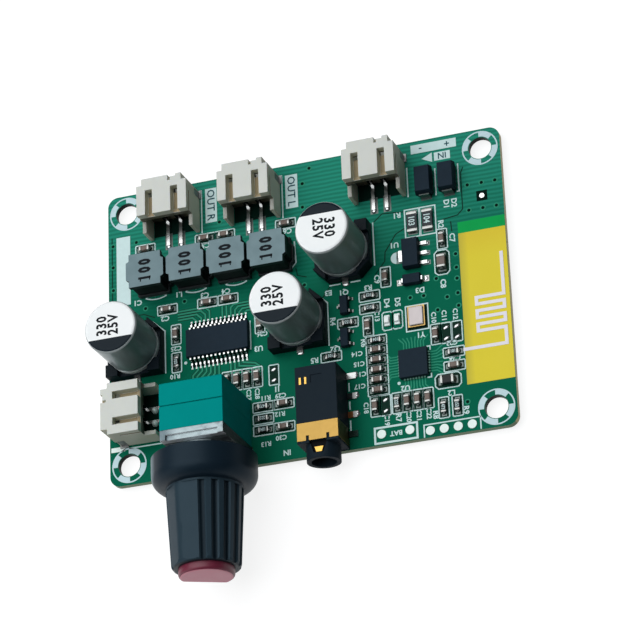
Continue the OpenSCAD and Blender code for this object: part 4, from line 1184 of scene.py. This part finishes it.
def makeChipMarks():
    c = chipLook
    chips = chipPlaces("chip_resistor_bodies", "chip_capacitor_bodies")
    small = [chip[:3] for chip in chips if chip[4] < c["wideFrom"]]
    small += [(x, y, 90) for x, y in emptyPlaces]
    wide = [chip[:3] for chip in chips if chip[4] >= c["wideFrom"]]
    wide += [chip[:3] for chip in chipPlaces("bead_body")]
    makePads("shadedChipClearings", [(x, y, 0.0, turn, c["smallClear"]) for x, y, turn in small]
             + [(x, y, 0.0, turn, c["wideClear"]) for x, y, turn in wide] + [c["crystalClear"]], "gap", "board")
    outlines("chipOutlines", small, c["small"])
    outlines("wideOutlines", wide, c["wide"])
    outlines("lightOutlines", [(x, y, 90) for x, y, *rest in chipPlaces("led_bases")], c["light"])
    pads, beads = [], []
    for x, y, turn, length, width, height in chips + chipPlaces("bead_body", "large_resistor_bodies"):
        for way in (-heading(turn), heading(turn)):
            long, share, thick = c["pad"]
            spot = Vector((x, y)) + way * (length / 2 + c["padPast"])
            pads.append((*spot, 0.0, turn, (long, width * share, thick)))
            long, share, tall = c["bead"]
            spot = Vector((x, y)) + way * (length / 2 + c["beadPast"])
            beads.append((*spot, c["beadAt"], turn, (long, width * share, height * tall)))
    # pads and solder of the chips in painted shade
    makePads("chipPads", pads, "dullTin")
    makeBeads("chipSolder", beads, "dullTin")
    makeBeads("emptyPads", [(x, y + side * c["emptyApart"], 0.0, c["emptyTurn"], c["empty"])
                            for x, y in emptyPlaces for side in (-1, 1)], "solder")


leadLook = {
    # pads under the outer ends of leads: body, piece, width over the lead, length, share past the end,
    # thickness of the solder
    "amplifier_leads": ("amplifier_body", "amplifierPads", 0.02, 1.3, 0.42, 0.1),
    "regulator_leads": ("regulator_body", "shadedPads", 0.2, 1.2, 0.36, 0.28),
    "small_diode_leads": ("small_diode_body", "leadPads", 0.3, 1.0, 0.4, 0.28),
    "power_diode_terminals": ("power_diode_bodies", "shadedPads", 0.1, 1.2, 0.2, 0.0),
}
solderLook = {
    "padThick": 0.04, "beadPast": 0.06, "beadLong": 1.3, "beadWide": 0.95,      # at the leads above
    # sizes and places in mm: feet of the socket contacts, and a bead beside those of the side socket
    "foot": (2.6, 1.15, 0.05), "footBack": 0.75, "footBead": (0.9, 0.85, 0.6), "footPast": 0.1,
    "sideBead": (1.0, 1.1, 1.5), "sideAt": (-2.6, -0.2),
    "tab": (2.2, 0.7, 0.04), "tabIn": 0.5, "tabOut": 0.35,                      # side socket's tabs
    "jackIn": 0.35, "jackBeads": ((0.0, 0.0, 8, (1.5, 1.0, 0.5)), (0.25, 0.3, 35, (0.9, 0.6, 0.4))),
    "canBead": (1.1, 0.7, 0.34),
}


def leadEnds(node, bodyNode):
    # outer end of each lead, the way it points and its width, in mm
    bodies = [(low + high) / 2 for low, high in solidBoxes(bodyNode)]
    low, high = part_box(bodyNode)
    span = high - low if len(bodies) == 1 else Vector((1, 1, 1))
    for low, high in solidBoxes(node):
        middle = (low + high) / 2
        away = min((middle - body for body in bodies), key=lambda step: step.length)
        axis = 0 if abs(away.x) / span.x > abs(away.y) / span.y else 1
        end = middle.copy()
        end[axis] = high[axis] if away[axis] > 0 else low[axis]
        turn = 90 * axis + (0 if away[axis] > 0 else 180)
        yield end.x / mm, end.y / mm, turn, (high - low)[1 - axis] / mm


def inwardFeet(node):
    # the end of each socket contact that lies nearer the middle of the board
    for low, high in solidBoxes(node):
        size = (high - low) / mm
        middle = (low + high) / 2 / mm
        if size.y > size.x:
            yield middle.x, low.y / mm, 270
        else:
            yield high.x / mm, middle.y, 0


def makeLeadPads():
    s = solderLook
    pads = {"amplifierPads": [], "leadPads": [], "shadedPads": []}
    beads, sideBeads = [], []
    for node, (body, row, wider, long, past, thick) in leadLook.items():
        for x, y, turn, width in leadEnds(node, body):
            end, way = Vector((x, y)), heading(turn)
            spot = end + way * (past - 0.5) * long
            pads[row].append((*spot, 0.0, turn, (long, width + wider, s["padThick"])))
            if thick:
                spot = end + way * s["beadPast"]
                beads.append((*spot, 0.0, turn, (past * long * s["beadLong"], width * s["beadWide"], thick)))
    for x, y, turn in inwardFeet("socket_contacts"):
        end, way = Vector((x, y)), heading(turn)
        pads["shadedPads"].append((*(end - way * s["footBack"]), 0.0, turn, s["foot"]))
        beads.append((*(end + way * s["footPast"]), 0.0, turn, s["footBead"]))
        if turn == 0:
            sideBeads.append((*(end + Vector(s["sideAt"])), 0.0, turn, s["sideBead"]))
    low, high = (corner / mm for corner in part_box("side_housing"))
    makePads("tabPads", [(low.x + s["tabIn"], y, 0.0, 0, s["tab"])
                         for y in (low.y - s["tabOut"], high.y + s["tabOut"])], "bareTin")
    foremost = min(low.y for low, high in jackFeet())
    for low, high in jackFeet():
        if low.y - foremost < 0.1 * mm:                     # this one is left without solder
            continue
        right = high.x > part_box("jack_housing")[1].x
        x = high.x / mm - s["jackIn"] if right else low.x / mm + s["jackIn"]
        for aside, behind, turn, size in s["jackBeads"]:
            beads.append((x + aside, (low.y + high.y) / 2 / mm + behind, 0.0, turn, size))
    seats = [sum(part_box("capacitor_%d_seat" % i), Vector()) / 2 for i in (1, 2, 3)]
    for low, high in solidBoxes("capacitor_leads"):
        middle = (low + high) / 2
        seat = min(seats, key=lambda spot: (spot - middle).length)
        end = (low if middle.y < seat.y else high).y
        beads.append((middle.x / mm, end / mm, 0.0, 0, s["canBead"]))
    for name, finish in (("amplifierPads", "bareTin"), ("leadPads", "ends"), ("shadedPads", "dullTin")):
        makePads(name, pads[name], finish)
    makeBeads("sideSolder", sideBeads, "bareTin")
    makeBeads("leadSolder", beads, "solder")


makeLeadPads()
makeChipMarks()
print("chip outlines and solder made")


# digits on the parts

digitLook = {
    "inductor": {"height": 1.75, "thick": 0.012, "bold": 0.06, "spread": 0.7, "gap": 1.5},
    "one": ((0.72, -1.88, 0.89, -1.22), (-0.72, -1.95, -0.54, -1.5)),   # foot and flag of its 1
    "can": {"height": 1.55, "thick": 0.012, "bold": 0.032, "spread": 0.85, "gap": 1.14},
    "canRows": (("330", -1.3), ("25V", 0.45)), "canAcross": 0.25, "canTurns": {1: 90, 2: 90, 3: 270},
    "code": {"thick": 0.008, "bold": 0.02, "spread": 0.8},
    "codes": ("103", "104", "222", "473", "101", "153", "512"),
    "codeHeights": {"large_resistor_bodies": 0.95, "chip_resistor_bodies": 0.5},
}


def topOf(node):
    # middle of a node's box, and its top over the board, in mm
    low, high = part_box(node)
    middle = (low + high) / 2 / mm
    return middle.x, middle.y, (high.z - boardTop) / mm


def makeDigits():
    d = digitLook
    bm = bmesh.new()
    for i in range(1, 5):
        x, y, top = topOf("inductor_%d_core" % i)
        lettering(bm, "100", x, y, 90, base=top, **d["inductor"])
        for x0, y0, x1, y1 in d["one"]:
            slab(bm, boxPath(x + x0, y + y0, x + x1, y + y1), d["inductor"]["thick"], top)
    keepDrawn("inductorDigits", bm, "ink", "ferrite")
    bm = bmesh.new()
    for i, turn in d["canTurns"].items():
        x, y, top = topOf("capacitor_%d_can" % i)
        side = 1 if turn == 90 else -1
        for words, row in d["canRows"]:
            lettering(bm, words, x + side * row, y + side * d["canAcross"], turn, base=top, **d["can"])
    keepDrawn("canDigits", bm, "ink", "can")
    bm = bmesh.new()
    for node, height in d["codeHeights"].items():
        top = topOf(node)[2]
        for i, (x, y, turn, *rest) in enumerate(chipPlaces(node)):
            words = d["codes"][i % len(d["codes"])]
            lettering(bm, words, x, y, 270 if turn == 90 else 180, height, top, **d["code"])
    keepDrawn("resistorCodes", bm, "print", "resistor_glaze")


makeDigits()
print("digits made")


# carried-over CAD nodes

painted = {
    "board": ["pcb"], "aerial": ["antenna_trace"], "bareTin": ["solder_pads"], "toes": ["radio_chip_toes"],
    "tab": ["transistor_leads", "socket_tabs"],
    "tin": ["inductor_terminals", "capacitor_leads", "amplifier_leads", "regulator_leads", "small_diode_leads",
            "pot_terminals"],
    "dullTin": ["power_diode_terminals"], "socketLeads": ["socket_contacts"], "contacts": ["jack_contacts"],
    "ledWhite": ["led_bases"], "ledLens": ["led_lenses"], "crystal": ["crystal_base"],
    "shaft": ["pot_shaft"], "rotor": ["pot_rotors"], "resin": ["inductor_%d_winding" % i for i in range(1, 5)],
    "can1": ["capacitor_1_can"], "can2": ["capacitor_2_can"], "can3": ["capacitor_3_can"],
}
eased = (
    # nodes, finish, slot, width of the eased edges in mm
    (sockets, "nylon", "socket_plastic", 0.08),
    (["inductor_%d_core" % i for i in range(1, 5)], "ferrite", "ferrite", 0.06),
    (["capacitor_%d_seat" % i for i in range(1, 4)], "seat", "seat_plastic", 0.08),
    (["amplifier_body"], "chip", "chip_plastic", 0.04),
    (["radio_chip_body"], "chip", "chip_plastic", 0.03),
    (["regulator_body"], "chip", "chip_plastic", 0.06),
    (["small_diode_body", "transistor_bodies"], "chip", "chip_plastic", 0.05),
    (["power_diode_bodies"], "chip", "chip_plastic", 0.07),
    (["chip_resistor_bodies"], "glaze", "resistor_glaze", 0.03),
    (["large_resistor_bodies"], "largeGlaze", "resistor_glaze", 0.04),
    (["bead_body"], "glaze", "resistor_glaze", 0.05),
    (["chip_capacitor_bodies"], "ceramic", "capacitor_ceramic", 0.06),
    (["resistor_ends", "chip_capacitor_ends", "bead_ends"], "ends", "tin", 0.06),
    (["crystal_lid"], "lid", "lid_metal", 0.08),
    (["jack_housing"], "jack", "jack_plastic", 0.05),
    (["jack_shell"], "gold", "gold", 0.04),
    (["pot_front_wafer", "pot_rear_wafer"], "teal", "wafer", 0.05),
    (["pot_front_plate"], "plate", "plate_metal", 0.08),
)

for finish, names in painted.items():
    paint(finishes[finish], *names)
for names, finish, slotName, width in eased:
    for node in names:
        softened(node, width, finishes[finish], slotName)
softened("knob", 0.1, finishes["knob"], "knob_plastic", "volume_knob")
softened("knob_cap", 0.15, finishes["cap"], "cap_plastic", "volume_knob", segments=3)
print("CAD nodes dressed")


# finish

print("scene built")
